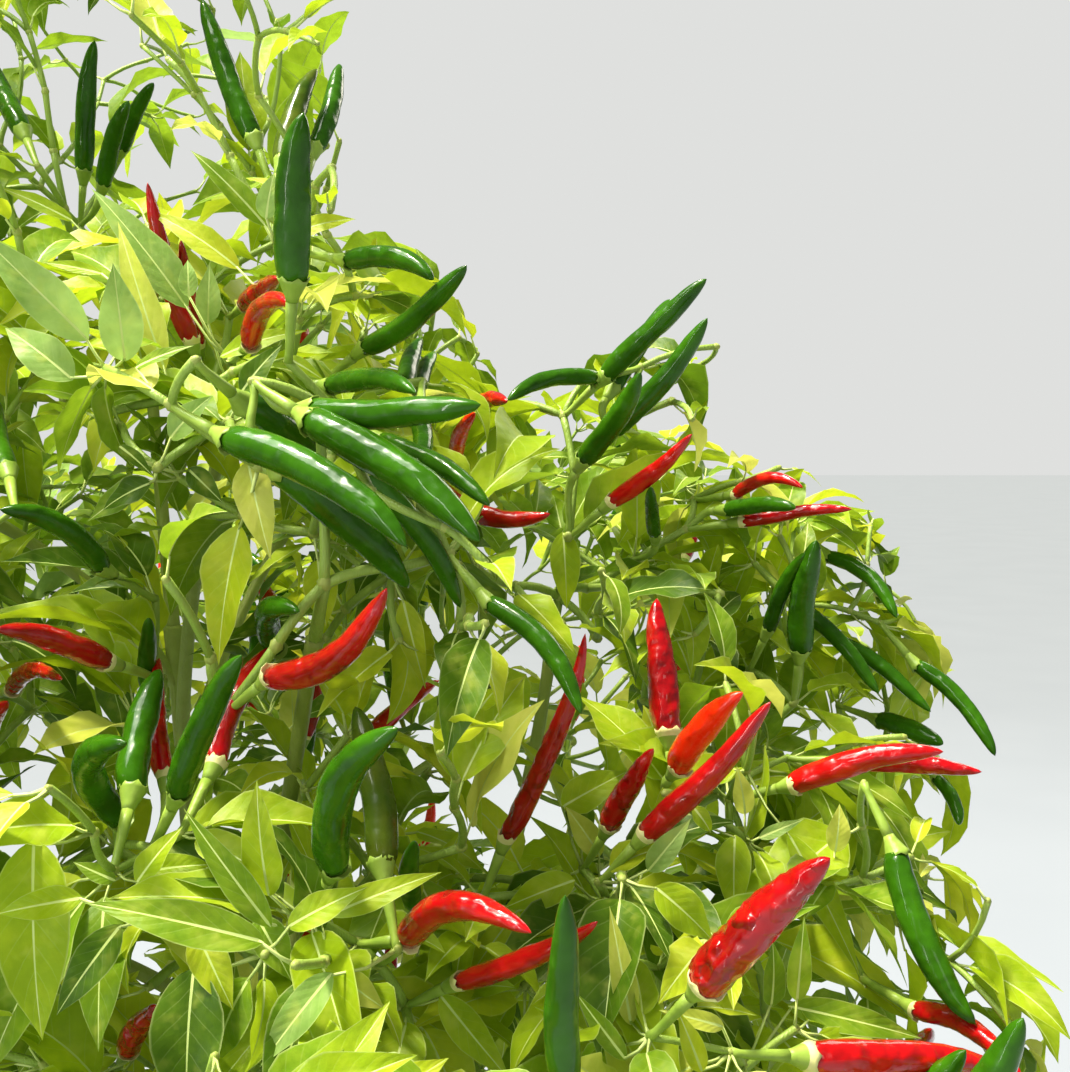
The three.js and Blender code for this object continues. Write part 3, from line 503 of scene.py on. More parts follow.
PODS_BEHIND = [
    ((103, 186), (128, 100), 0.650, 0.052, NEAR, 0.0090, 0.03, "green"),
    ((122, 150), (153, 82), 0.670, 0.048, NEAR, 0.0080, 0.03, "green"),
    ((24, 133), (-4, 66), 0.600, 0.045, AWAY, 0.0102, 0.03, "green"),
    ((314, 150), (340, 64), 0.540, 0.048, AWAY, 0.0086, -0.03, "green"),
    ((198, 345), (182, 240), 0.560, 0.055, NEAR, 0.0080, 0.03, "crimson"),
    ((245, 305), (278, 280), 0.540, 0.048, NEAR, 0.0090, 0.02, "crimson"),
    ((250, 345), (293, 308), 0.490, 0.050, NEAR, 0.0090, 0.16, "red"),
    ((404, 390), (420, 338), 0.560, 0.050, AWAY, 0.0090, 0.02, "dark"),
    ((418, 392), (434, 352), 0.580, 0.040, AWAY, 0.0080, 0.02, "dark"),
    ((330, 386), (416, 392), 0.450, 0.052, NEAR, 0.0080, 0.06, "green"),
    ((420, 415), (416, 480), 0.470, 0.045, NEAR, 0.0075, 0.03, "green"),
    ((8, 472), (-6, 400), 0.470, 0.052, AWAY, 0.0090, 0.03, "dark"),
    ((12, 690), (62, 678), 0.470, 0.050, NEAR, 0.0070, 0.08, "wrinkled"),
    ((-20, 760), (6, 700), 0.480, 0.052, NEAR, 0.0090, 0.03, "crimson"),
    ((276, 650), (300, 612), 0.470, 0.045, NEAR, 0.0090, 0.20, "green"),
    ((166, 778), (161, 657), 0.440, 0.052, AWAY, 0.0080, 0.06, "crimson"),
    ((215, 765), (274, 647), 0.430, 0.056, AWAY, 0.0092, 0.08, "crimson"),
    ((148, 690), (150, 618), 0.480, 0.040, NEAR, 0.0068, 0.02, "dark"),
    ((128, 1050), (157, 1006), 0.470, 0.040, NEAR, 0.0100, 0.03, "wrinkled"),
    ((456, 456), (474, 412), 0.580, 0.045, NEAR, 0.0075, 0.04, "orange"),
    ((478, 404), (507, 400), 0.590, 0.040, NEAR, 0.0080, 0.03, "red"),
    ((612, 390), (672, 300), 0.590, 0.058, AWAY, 0.0090, 0.02, "green"),
    ((583, 461), (642, 373), 0.560, 0.056, NEAR, 0.0102, -0.03, "green"),
    ((735, 495), (803, 487), 0.610, 0.045, NEAR, 0.0065, 0.14, "red"),
    ((726, 510), (796, 507), 0.600, 0.046, NEAR, 0.0080, 0.04, "green"),
    ((655, 535), (652, 487), 0.580, 0.040, NEAR, 0.0064, 0.02, "green"),
    ((768, 630), (804, 552), 0.600, 0.050, NEAR, 0.0076, 0.03, "green"),
    ((828, 556), (897, 618), 0.640, 0.056, NEAR, 0.0080, 0.12, "green"),
    ((878, 720), (943, 745), 0.640, 0.048, NEAR, 0.0098, 0.04, "green"),
    ((609, 826), (655, 749), 0.480, 0.042, NEAR, 0.0096, 0.03, "wrinkled"),
    ((915, 1010), (1022, 1075), 0.470, 0.062, NEAR, 0.0082, 0.10, "crimson"),
    ((921, 1052), (931, 1030), 0.500, 0.045, NEAR, 0.0080, 0.03, "crimson"),
    ((412, 905), (413, 841), 0.440, 0.040, NEAR, 0.0070, 0.02, "dark"),
]
POD_SPARE_CHANCE = 0.45
POD_SPARE_TRIES = 6
POD_SPARE_LONG = (0.052, 0.074)
POD_SPARE_RISE = (0.5, 1.35)
POD_SPARE_SWING = 2
POD_SPARE_BOW = 0.05
POD_SPARE_FINISHES = (
    "green", "green", "olive", "green", "crimson", "green", "red", "crimson", "green", "orange",
)
CROWN_HEART = Vector((0, 0, 0.4))
WOOD_RUNS = {"main": 8, "limb": 5, "bough": 3}

run_from, run_to, run_radius = [], [], []
for name, (curve, radius_at) in wood.items():
    steps = WOOD_RUNS[name.split("_")[0]]
    for i in range(steps):
        run_from.append(along(curve, i / steps))
        run_to.append(along(curve, (i + 1) / steps))
        run_radius.append(max(radius_at(i / steps), radius_at((i + 1) / steps)))
run_from, run_to, run_radius = np.array(run_from), np.array(run_to), np.array(run_radius)
run_way = run_to - run_from
run_square = (run_way**2).sum(1)


def meets_wood(start, end, radius):
    """True where a straight rod would come near a limb or a bough."""
    start = np.asarray(start)
    rod = np.asarray(end) - start
    gap = start - run_from
    rod_square = rod @ rod
    shared = run_way @ rod
    gap_rod, gap_run = gap @ rod, (gap * run_way).sum(1)
    flat = rod_square * run_square - shared**2
    s = np.where(flat > 1e-15, (shared * gap_run - run_square * gap_rod) / np.maximum(flat, 1e-15), 0)
    s = np.clip(s, 0, 1)
    t = np.clip((shared * s + gap_run) / run_square, 0, 1)
    s = np.clip((shared * t - gap_rod) / max(rod_square, 1e-15), 0, 1)
    apart = start + s[:, None] * rod - run_from - t[:, None] * run_way
    near = np.sqrt((apart**2).sum(1)) < radius + run_radius + 2 * GROWN_GAP
    return bool(near.any())


class Pod:
    def __init__(self, cap, tip, girth, bow, finish):
        self.cap, self.tip, self.finish = Vector(cap), Vector(tip), finish
        self.way = (self.tip - self.cap).normalized()
        self.long = (self.tip - self.cap).length
        self.foot = self.cap - self.way * POD_STALK
        self.girth = girth or 2 * POD_RADIUS * self.long
        self.bow, self.bow_way = bow, square_to(self.way)[0]

    def places(self):
        return (self.cap, self.tip, self.foot)

    def curve(self):
        middle = self.cap.lerp(self.tip, 0.5) + self.bow_way * (2 * self.bow * self.long)
        return (self.cap, middle, self.tip)


def pod_seen(row):
    cap, tip, far, long, lean_way, girth, bow, finish = row
    start = seen(cap, far)
    flat = (seen(tip, far) - start).length
    lean = math.sqrt(max(long**2 - flat**2, 0))
    end = seen(tip, far + lean_way * lean)
    pod = Pod(start, end, girth, bow, finish)
    pod.bow_way = VIEW_AHEAD.cross(pod.way).normalized() * -1
    return pod


def pod_holds(space, pod):
    """True where a mass has room for a pod and its stalk."""
    radius = pod.long * POD_RADIUS + SPACE_MARGIN
    inside = all(space.past(place)[0] < -radius for place in pod.places())
    near = all(space.share(place) < POD_OVERHANG for place in pod.places())
    return inside and near and not meets_wood(pod.foot, pod.tip, radius)


def home_of(place):
    """The name of the mass in whose space a place lies."""
    return min(spaces, key=lambda name: spaces[name].past(place)[0])


def seeded(seed):
    """A seeded row of numbers from 0 to 1, the same on every run."""
    while True:
        seed = seed * 48271 % 2147483647
        yield seed / 2147483647


pods_of = {name: [] for name in MASSES}
for row in PODS_SEEN:
    pod = pod_seen(row)
    pods_of[home_of(pod.cap.lerp(pod.tip, POD_HEART))].append(pod)
pods_behind_of = {name: [] for name in MASSES}
for row in PODS_BEHIND:
    pod = pod_seen(row)
    pods_behind_of[home_of(pod.cap)].append(pod)

# What the picture shows where: a grid of its cells keeps how far away the pods are, so that no
# seeded leaf or twig hides them, and where the sky beside and above the bush stays open.
CELL = 6
HIDES_BY = 0.004
PICTURE_DEEP = 0.85
CORE_STEPS, CORE_CLEAR = 30, 0.001
OPEN_SKY = [
    (355, -50), (350, 110), (345, 230), (440, 255), (470, 330), (500, 375), (575, 370), (600, 330),
    (720, 330), (700, 440), (780, 445), (870, 500), (915, 580), (925, 620), (990, 700), (1000, 775),
    (975, 800), (960, 860), (1040, 940), (1070, 1000), (1080, 1000), (1080, -50),
]
AIRY = [
    [(-20, -20), (360, -20), (350, 250), (330, 300), (120, 240), (100, 330), (-20, 230)],
    [(430, 585), (540, 560), (650, 590), (640, 700), (560, 770), (470, 840), (400, 700)],
    [(60, 380), (150, 420), (110, 480), (20, 470)],
]
AIRY_SHARE = 0.68
NEAREST_FAR = 0.27
cells_across, cells_down = VIEW_ACROSS // CELL + 1, VIEW_DOWN // CELL + 1
shown_far = np.full((cells_down, cells_across), np.inf)
cell_rows, cell_columns = np.mgrid[0:cells_down, 0:cells_across] * CELL + CELL / 2


def cells_within(outline):
    """The cells of the picture inside an outline of pixels."""
    within = np.zeros(shown_far.shape, bool)
    for (x, y), (u, v) in zip(outline, [outline[-1], *outline[:-1]]):
        if y != v:
            beside = cell_columns < (u - x) * (cell_rows - y) / (v - y) + x
            within ^= ((y > cell_rows) != (v > cell_rows)) & beside
    return within


open_sky = cells_within(OPEN_SKY)
airy_cells = np.any([cells_within(outline) for outline in AIRY], axis=0)


def cells_of(places):
    """The cells of the picture that places fall in, and how far away they are."""
    columns, rows, far = pictured(places)
    inside = (columns >= 0) & (columns < VIEW_ACROSS) & (rows >= 0) & (rows < VIEW_DOWN) & (far > 0.01)
    return (rows[inside] // CELL).astype(int), (columns[inside] // CELL).astype(int), far[inside]


def keep_clear(places):
    rows, columns, far = cells_of(places)
    for down in (-1, 0, 1):
        for side in (-1, 0, 1):
            near_rows = np.clip(rows + down, 0, cells_down - 1)
            near_columns = np.clip(columns + side, 0, cells_across - 1)
            np.minimum.at(shown_far, (near_rows, near_columns), far)


def hides(places):
    """True where places would stand before what shows, or in the open sky."""
    rows, columns, far = cells_of(places)
    before = far < shown_far[rows, columns] - HIDES_BY
    shown = np.isfinite(shown_far[rows, columns])
    return bool(((before & shown) | open_sky[rows, columns] | (far < NEAREST_FAR)).any())


def in_picture(place, margin=0):
    columns, rows, far = pictured([place])
    beside = -margin < columns[0] < VIEW_ACROSS + margin and -margin < rows[0] < VIEW_DOWN + margin
    return bool(beside and 0.01 < far[0] < PICTURE_DEEP)


def is_airy(place):
    """True where the photograph shows much of the background between the leaves."""
    rows, columns, _ = cells_of([place])
    return len(rows) > 0 and bool(airy_cells[rows[0], columns[0]])


pods_shown = [pod for pods in [*pods_of.values(), *pods_behind_of.values()] for pod in pods]
pod_cores, core_radius = KDTree(len(pods_shown) * (CORE_STEPS + 1)), []
for pod in pods_shown:
    spine = [along(pod.curve(), i / CORE_STEPS) for i in range(CORE_STEPS + 1)]
    for place in spine:
        pod_cores.insert(place, len(core_radius))
        core_radius.append(pod.girth / 2)
    side = pod.bow_way * (pod.girth * 0.45)
    keep_clear([place + side * k for place in spine for k in (-1, 0, 1)])
    keep_clear([pod.cap.lerp(pod.foot, i / 12) for i in range(13)])
pod_cores.balance()


def pierces(places):
    """True where places are inside a pod that the picture shows, or touch it."""
    cores = [pod_cores.find(place) for place in places]
    return any(apart < core_radius[core] + CORE_CLEAR for _, core, apart in cores)


# Leaves that show well in the photograph: the pixels of the blade's foot and tip, how far it is
# from the eye, its width in pixels and its tint. They grow on twigs as the seeded leaves do.
LEAVES_SEEN = [
    ((88, 340), (-10, 238), 0.43, 45, "grey"),
    ((73, 380), (-3, 325), 0.43, 40, "grey"),
    ((125, 361), (119, 267), 0.43, 41, "grey"),
    ((187, 308), (92, 189), 0.45, 40, "grey"),
    ((165, 370), (115, 219), 0.47, 30, "pale"),
    ((189, 297), (187, 259), 0.44, 28, "grey"),
    ((208, 324), (211, 265), 0.46, 25, "grey"),
    ((204, 274), (220, 219), 0.44, 25, "grey"),
    ((239, 269), (147, 210), 0.46, 28, "yellow"),
    ((266, 226), (190, 150), 0.47, 25, "mid"),
    ((266, 219), (275, 173), 0.46, 33, "grey"),
    ((287, 237), (356, 219), 0.48, 22, "yellow"),
    ((220, 357), (308, 331), 0.44, 22, "lime"),
    ((241, 393), (281, 343), 0.45, 25, "deep"),
    ((285, 357), (326, 382), 0.46, 14, "lime"),
    ((170, 439), (213, 396), 0.44, 33, "grey"),
    ((135, 368), (197, 347), 0.42, 14, "mid"),
    ((119, 446), (156, 478), 0.44, 14, "deep"),
    ((151, 483), (99, 510), 0.46, 33, "deep"),
    ((188, 469), (223, 503), 0.46, 25, "deep"),
    ((248, 460), (275, 560), 0.44, 40, "pale"),
    ((73, 221), (0, 189), 0.52, 15, "lime"),
    ((103, 274), (41, 262), 0.50, 10, "lime"),
    ((240, 525), (213, 668), 0.43, 55, "yellow"),
    ((318, 560), (325, 628), 0.46, 50, "yellow"),
    ((150, 480), (88, 522), 0.47, 30, "mid"),
    ((563, 532), (567, 610), 0.56, 32, "lime"),
    ((403, 600), (425, 690), 0.46, 28, "yellow"),
    ((34, 840), (44, 1039), 0.36, 75, "lime"),
    ((82, 898), (-5, 915), 0.35, 30, "lime"),
    ((264, 942), (90, 898), 0.34, 40, "mid"),
    ((271, 927), (184, 808), 0.38, 32, "mid"),
    ((269, 896), (262, 775), 0.37, 42, "lime"),
    ((288, 927), (368, 888), 0.38, 30, "lime"),
    ((194, 968), (194, 1120), 0.38, 72, "deep"),
    ((196, 930), (236, 1007), 0.38, 40, "yellow"),
    ((136, 884), (179, 830), 0.40, 26, "lime"),
    ((150, 871), (211, 867), 0.39, 26, "lime"),
    ((121, 925), (60, 1012), 0.38, 40, "deep"),
    ((332, 973), (262, 1063), 0.37, 36, "grey"),
    ((334, 973), (385, 1010), 0.38, 30, "pale"),
    ((257, 917), (294, 978), 0.37, 50, "mid"),
    ((116, 881), (73, 862), 0.40, 18, "mid"),
    ((575, 880), (503, 912), 0.42, 32, "lime"),
    ((655, 887), (714, 944), 0.42, 38, "lime"),
    ((735, 835), (733, 916), 0.45, 35, "lime"),
    ((745, 814), (735, 764), 0.47, 22, "pale"),
    ((605, 897), (591, 1010), 0.41, 62, "mid"),
    ((631, 1025), (610, 909), 0.39, 27, "pale"),
    ((648, 871), (690, 816), 0.45, 26, "grey"),
    ((600, 856), (565, 807), 0.45, 26, "pale"),
    ((562, 807), (629, 771), 0.47, 38, "lime"),
    ((693, 807), (712, 835), 0.45, 18, "lime"),
    ((759, 838), (804, 819), 0.46, 13, "grey"),
    ((788, 833), (852, 966), 0.45, 28, "lime"),
    ((797, 1001), (800, 909), 0.42, 24, "mid"),
    ((771, 1006), (771, 937), 0.43, 26, "mid"),
    ((788, 1006), (925, 1042), 0.42, 30, "mid"),
    ((724, 1027), (658, 1006), 0.39, 18, "pale"),
    ((702, 1072), (676, 1006), 0.38, 24, "yellow"),
    ((835, 852), (840, 804), 0.48, 26, "pale"),
    ((626, 1060), (575, 996), 0.38, 22, "mid"),
    ((330, 915), (441, 877), 0.39, 26, "lime"),
    ((440, 995), (512, 1078), 0.38, 35, "lime"),
]
LEAF_DEEPER = (0, 0.015, 0.03, 0.045, 0.06)
PETIOLE = 0.011
BLADE_GRID = [(t, c) for t in (0.06, 0.18, 0.3, 0.42, 0.54, 0.66, 0.78, 0.9, 1.0) for c in (-0.8, 0, 0.8)]
BLADE_ALONG = np.array([t for t, _ in BLADE_GRID])
BLADE_ACROSS = np.array([c for _, c in BLADE_GRID])


def blade_share(t):
    """The half width of a blade along its length, as a share of the greatest."""
    return t**0.7 * (1 - t) ** 1.28 / 0.2767


BLADE_REACH = BLADE_ACROSS * blade_share(BLADE_ALONG)


class Leaf:
    """One blade: where it starts, its way and upper side, its size and how it is bent."""

    def __init__(self, base, way, up, long, wide, tint, fold, droop, twist, wave, phase):
        self.base, self.way = Vector(base), Vector(way).normalized()
        self.up = (up - self.way * up.dot(self.way)).normalized()
        self.long, self.wide, self.tint, self.foot = long, wide, tint, None
        self.fold, self.droop, self.twist, self.wave, self.phase = fold, droop, twist, wave, phase

    def spine_place(self, t):
        turn = self.droop * t
        ahead = self.long * math.sin(turn) / self.droop
        return self.base + self.way * ahead - self.up * (self.long * (1 - math.cos(turn)) / self.droop)

    def samples(self):
        """Places all over the blade."""
        turn = self.droop * BLADE_ALONG[:, None]
        scale = self.long / self.droop
        side = np.array(self.way.cross(self.up)) * (self.wide / 2)
        places = np.array(self.base) + np.array(self.way) * (scale * np.sin(turn))
        return places - np.array(self.up) * (scale * (1 - np.cos(turn))) + BLADE_REACH[:, None] * side


def leaf_seen(row, deeper, draw):
    foot_pixel, tip_pixel, far, wide_pixels, tint = row
    far += deeper
    start, end = seen(foot_pixel, far), seen(tip_pixel, far)
    flat = (end - start).length
    end = end + VIEW_AHEAD * ((next(draw) - 0.5) * 0.5 * flat)
    long = (end - start).length
    droop = 0.3 + 0.5 * next(draw)
    way = (end - start).normalized()
    facing = Vector((0, 0, 0.5)) - VIEW_AHEAD + VIEW_SIDE * ((next(draw) - 0.5) * 0.6)
    up = (facing - way * facing.dot(way)).normalized()
    lifted = way * math.cos(droop / 2) + up * math.sin(droop / 2)
    wide = wide_pixels / VIEW_REACH * far / max(abs(up.dot(VIEW_AHEAD)), 0.55)
    wide = min(max(wide, long * 0.22), long * 0.52)
    long *= (droop / 2) / math.sin(droop / 2)
    twist = 0.5 * (next(draw) - 0.5)
    bends = {"fold": 0.22, "droop": droop, "twist": twist, "wave": 0.16, "phase": 6.28 * next(draw)}
    leaf = Leaf(start, lifted, up, long, wide, tint, **bends)
    leaf.foot = start - (leaf.way * 0.9 + Vector((0, 0, 0.4))).normalized() * PETIOLE
    return leaf


seen_draw = seeded(90210)
leaves_seen_of = {name: [] for name in MASSES}
for row in LEAVES_SEEN:
    for deeper in LEAF_DEEPER:
        leaf = leaf_seen(row, deeper, seen_draw)
        stalk = [leaf.foot.lerp(leaf.base, i / 4) for i in range(5)]
        if not hides(stalk) and not pierces([*stalk, *leaf.samples()]):
            break
    leaves_seen_of[home_of(leaf.foot)].append(leaf)
    keep_clear(leaf.samples())

# Forks: the places where twigs branch, two or three from each. They grow from the end of a bough
# to the feet of the pods' stalks and to seeded places between, the nearest way each time, and then
# once more to finer forks, at the feet of leaves and between, within the same reach.
TWIG_FIRST = 0.024
TWIG_RUN_WEIGHT = 0.3
TWIG_LONGEST, TWIG_STEP, TWIG_KINK, TWIG_LEAD = 0.040, 0.026, 0.003, 0.16
TWIGS_MOST, FINE_TWIGS_MOST, FINE_RADIUS = 3, 5, 0.002
SITES, SITES_PER_POD, SITE_DRAWS = 13, 0.5, 1500
SITE_APART, SITE_INNER, SITE_OUTER, SITE_MARGIN, SITE_LOWEST = 0.046, 0.3, 0.86, 0.009, 0.235
KNOT_RADIUS = 0.0031
FOOT_SHARED = 0.018
FINE_SITES, FINE_APART, FINE_OUTER, FINE_MARGIN, FINE_SHARED = 46, 0.023, 0.88, 0.003, 0.018
LEAF_FEET_SHARED = 0.025
FINE_POD_CHANCE = 0.28
WAYS_TRIED = 12
SPARE_BESIDE = 90
FIRST_SEED = 4101


class Fork:
    def __init__(self, place, mass):
        self.place, self.mass, self.pods, self.leaves = Vector(place), mass, [], []
        self.twigs, self.run = [], 0.0
        self.source, self.way, self.curve, self.tint = None, None, None, None


def grow_twig(forks, source, fork):
    fork.source = source
    apart = fork.place - source.place
    fork.run = source.run + apart.length
    chord = apart.normalized()
    lead = (source.way - chord * source.way.dot(chord)) * (apart.length * TWIG_LEAD)
    fork.curve = (source.place, source.place.lerp(fork.place, 0.5) + lead, fork.place)
    fork.way = heading(fork.curve, 1)
    source.twigs.append(fork)
    forks.append(fork)


def grow_on(forks, source, fork):
    """Grows a twig from one fork to another, a little zig-zag by way of nodes where it is long."""
    while (fork.place - source.place).length > TWIG_LONGEST:
        reach = fork.place - source.place
        kink = square_to(reach.normalized())[len(forks) % 2] * TWIG_KINK
        between = Fork(source.place + reach * (TWIG_STEP / reach.length) + kink, fork.mass)
        grow_twig(forks, source, between)
        source = between
    grow_twig(forks, source, fork)


def join_on(forks, wanted, most, clearance):
    """Joins each wanted fork to the fork that it reaches by the shortest way that hides no pod."""
    start = forks[0].place
    for fork in sorted(wanted, key=lambda fork: (fork.place - start).length):
        place = fork.place
        ways_on = sorted(
            (other for other in forks if len(other.twigs) < most),
            key=lambda other: (other.place - place).length + TWIG_RUN_WEIGHT * other.run,
        )
        ways_on = [other for other in ways_on[:WAYS_TRIED] if not meets_wood(other.place, place, clearance)]
        ways = {other: [other.place.lerp(place, i / 20) for i in range(2, 18)] for other in ways_on}
        source = next((other for other in ways_on if not (hides(ways[other]) or pierces(ways[other]))), None)
        if source is None and ways_on and fork.pods:
            source = ways_on[0]
        if source:
            grow_on(forks, source, fork)


def wanted_sites(mass, taken, draw, count, apart, outer, margin):
    """Seeded places for forks, apart from each other and clear of the wood."""
    space, sites = spaces[mass], []
    for _ in range(SITE_DRAWS):
        if len(sites) >= count:
            break
        turn = next(draw) * math.pi * 2
        height = next(draw) * 2 - 1
        ring = math.sqrt(1 - height * height)
        out = SITE_INNER + (outer - SITE_INNER) * next(draw) ** (1 / 3)
        unit = np.array((ring * math.cos(turn), ring * math.sin(turn), height))
        place = unit * out * space.reach + space.centre
        free = all(((other - place) ** 2).sum() > apart**2 for other in taken)
        if not free or space.past(place)[0] >= -margin or place[2] <= SITE_LOWEST:
            continue
        if meets_wood(place, place + np.array((0, 0, 0.001)), margin):
            continue
        taken.append(place)
        sites.append(Fork(place, mass))
    return [fork for fork in sites if not (hides([fork.place]) or pierces([fork.place]))]


def share_feet(things, mass, within, kind, feet):
    """Puts pods or leaves whose feet are close together on one fork."""
    fresh = []
    for thing in things:
        shared = next((fork for fork in [*feet, *fresh] if (fork.place - thing.foot).length < within), None)
        if shared is None:
            shared = Fork(thing.foot, mass)
            fresh.append(shared)
        getattr(shared, kind).append(thing)
        thing.foot = shared.place
    return fresh


def spare_pod(place, space, draw, finish):
    """A pod that rises and points away from the plant's middle, or None where none fits."""
    out = place - CROWN_HEART
    for _ in range(POD_SPARE_TRIES):
        turn = math.atan2(out.y, out.x) + (next(draw) - 0.5) * POD_SPARE_SWING
        rise = POD_SPARE_RISE[0] + (POD_SPARE_RISE[1] - POD_SPARE_RISE[0]) * next(draw)
        way = Vector((math.cos(rise) * math.cos(turn), math.cos(rise) * math.sin(turn), math.sin(rise)))
        cap = place + way * POD_STALK
        tip = cap + way * (POD_SPARE_LONG[0] + (POD_SPARE_LONG[1] - POD_SPARE_LONG[0]) * next(draw))
        pod = Pod(cap, tip, None, POD_SPARE_BOW, finish)
        if pod_holds(space, pod):
            return pod
    return None


def add_spares(forks, draw, chance, shift):
    """Gives some of the numbered forks a pod each, out of the photograph's sight."""
    for number, fork in forks:
        if next(draw) > chance:
            continue
        finish = POD_SPARE_FINISHES[(number + shift) % len(POD_SPARE_FINISHES)]
        spare = spare_pod(fork.place, spaces[fork.mass], draw, finish)
        if spare and not in_picture(spare.cap, SPARE_BESIDE):
            fork.pods.append(spare)


forks_of, fork_stage = {}, {}
for index, mass in enumerate(MASSES):
    draw = seeded(FIRST_SEED + index)
    bough, _ = wood[f"bough_{mass}"]
    way = heading(bough, 1)
    first = Fork(along(bough, 1) + way * (GROWN_GAP + TWIG_FIRST), mass)
    first.way = way
    start = along(bough, 0.97)
    first.curve = (start, start.lerp(first.place, 0.5), first.place)
    wanted = share_feet(pods_of[mass], mass, FOOT_SHARED, "pods", [])
    taken = [np.array(fork.place) for fork in [first, *wanted]]
    count = math.ceil(len(wanted) * SITES_PER_POD + SITES) - len(wanted)
    wanted += wanted_sites(mass, taken, draw, count, SITE_APART, SITE_OUTER, SITE_MARGIN)
    forks = [first]
    join_on(forks, wanted, TWIGS_MOST, KNOT_RADIUS)
    podless = [(number, fork) for number, fork in enumerate(forks) if not fork.pods]
    add_spares(podless, draw, POD_SPARE_CHANCE, 3 * index)
    fork_stage[mass] = len(forks)
    fine = share_feet(pods_behind_of[mass], mass, FINE_SHARED, "pods", forks)
    fine += share_feet(leaves_seen_of[mass], mass, LEAF_FEET_SHARED, "leaves", [*forks, *fine])
    taken = [np.array(fork.place) for fork in [*forks, *fine]]
    fine += wanted_sites(mass, taken, draw, FINE_SITES, FINE_APART, FINE_OUTER, FINE_MARGIN)
    join_on(forks, fine, FINE_TWIGS_MOST, FINE_RADIUS)
    later = enumerate(forks[fork_stage[mass] :])
    bare = [(number, fork) for number, fork in later if not (fork.pods or fork.leaves or fork.twigs)]
    add_spares(bare, draw, FINE_POD_CHANCE, 7 * index)
    forks_of[mass] = forks

# Leaves: pointed and lance shaped, up to 62 mm, folded a little along a pale midrib, with a wavy
# margin and a drooping tip. They stand round every fork on thin stalks, lime and yellow-green where
# the sun comes through and deeper in the shade; the tips of the twigs carry small young ones.
LEAF_LONG = {"old": (0.040, 0.062), "fine": (0.026, 0.054)}
LEAF_WIDE = (0.36, 0.48)
LEAF_CLEAR = 0.0015
LEAF_PROUD = 0.014
LEAF_OVERHANG, LEAF_HEART_OVERHANG = 1.06, 1.03
LEAF_TRIES = 5
LEAF_APART = 0.018
LEAVES_AT_TIP, LEAVES_AT_FORK = 4, 3
LEAF_YOUNG, LEAF_YOUNG_CHANCE = 0.6, 0.3
LEAF_OTHER_TINT, TWIG_OTHER_TINT = 0.25, 0.2
LEAF_THROUGH, LEAF_GLOW = 0.72, (0.36, 0.14)
PICTURE_BESIDE = 50
RIB_HALF = 0.0004
BLADES = [
    (
        0.50,
        (0.0, 0.04, 0.10, 0.18, 0.27, 0.37, 0.47, 0.57, 0.67, 0.77, 0.86, 0.94),
        (-1.0, -0.7, -0.36, -0.001, 0.001, 0.36, 0.7, 1.0),
    ),
    (0.74, (0.0, 0.05, 0.14, 0.26, 0.40, 0.54, 0.68, 0.81, 0.92), (-1.0, -0.52, -0.001, 0.001, 0.52, 1.0)),
    (math.inf, (0.0, 0.09, 0.25, 0.45, 0.66, 0.86), (-1.0, -0.52, -0.001, 0.001, 0.52, 1.0)),
]
GOLDEN = math.pi * (3 - math.sqrt(5))
LEAF_TINTS = {
    "lime": ("#b6cc24", "#92b014"),
    "yellow": ("#cad430", "#a8be1c"),
    "mid": ("#94b226", "#6c9016"),
    "grey": ("#a8c66e", "#84a84c"),
    "deep": ("#658818", "#46680c"),
    "pale": ("#dade6a", "#bfca48"),
}
TINTS = tuple(LEAF_TINTS)
SHADED = ("upper_left", "top", "upper_back", "back_left", "left")
DEALS = {
    True: ("mid", "deep", "grey", "mid", "lime", "mid", "yellow", "lime", "mid"),
    False: ("lime", "yellow", "lime", "mid", "lime", "yellow", "deep", "lime", "mid", "pale"),
}
leaf_draw = seeded(77003)


def leaf_fits(leaf, fork):
    space, tip, middle = spaces[fork.mass], leaf.spine_place(1), leaf.spine_place(0.5)
    if any((other.spine_place(1) - tip).length < LEAF_APART for other in fork.leaves):
        return False
    if space.share(tip) > LEAF_OVERHANG or space.share(middle) > LEAF_HEART_OVERHANG:
        return False
    if space.past(middle)[0] > LEAF_PROUD:
        return False
    if any(tip[k] < cad_low[k] - LEAF_PROUD or tip[k] > cad_high[k] + LEAF_PROUD for k in range(3)):
        return False
    places = leaf.samples()
    return not (meets_wood(leaf.base, tip, LEAF_CLEAR) or hides(places) or pierces(places))


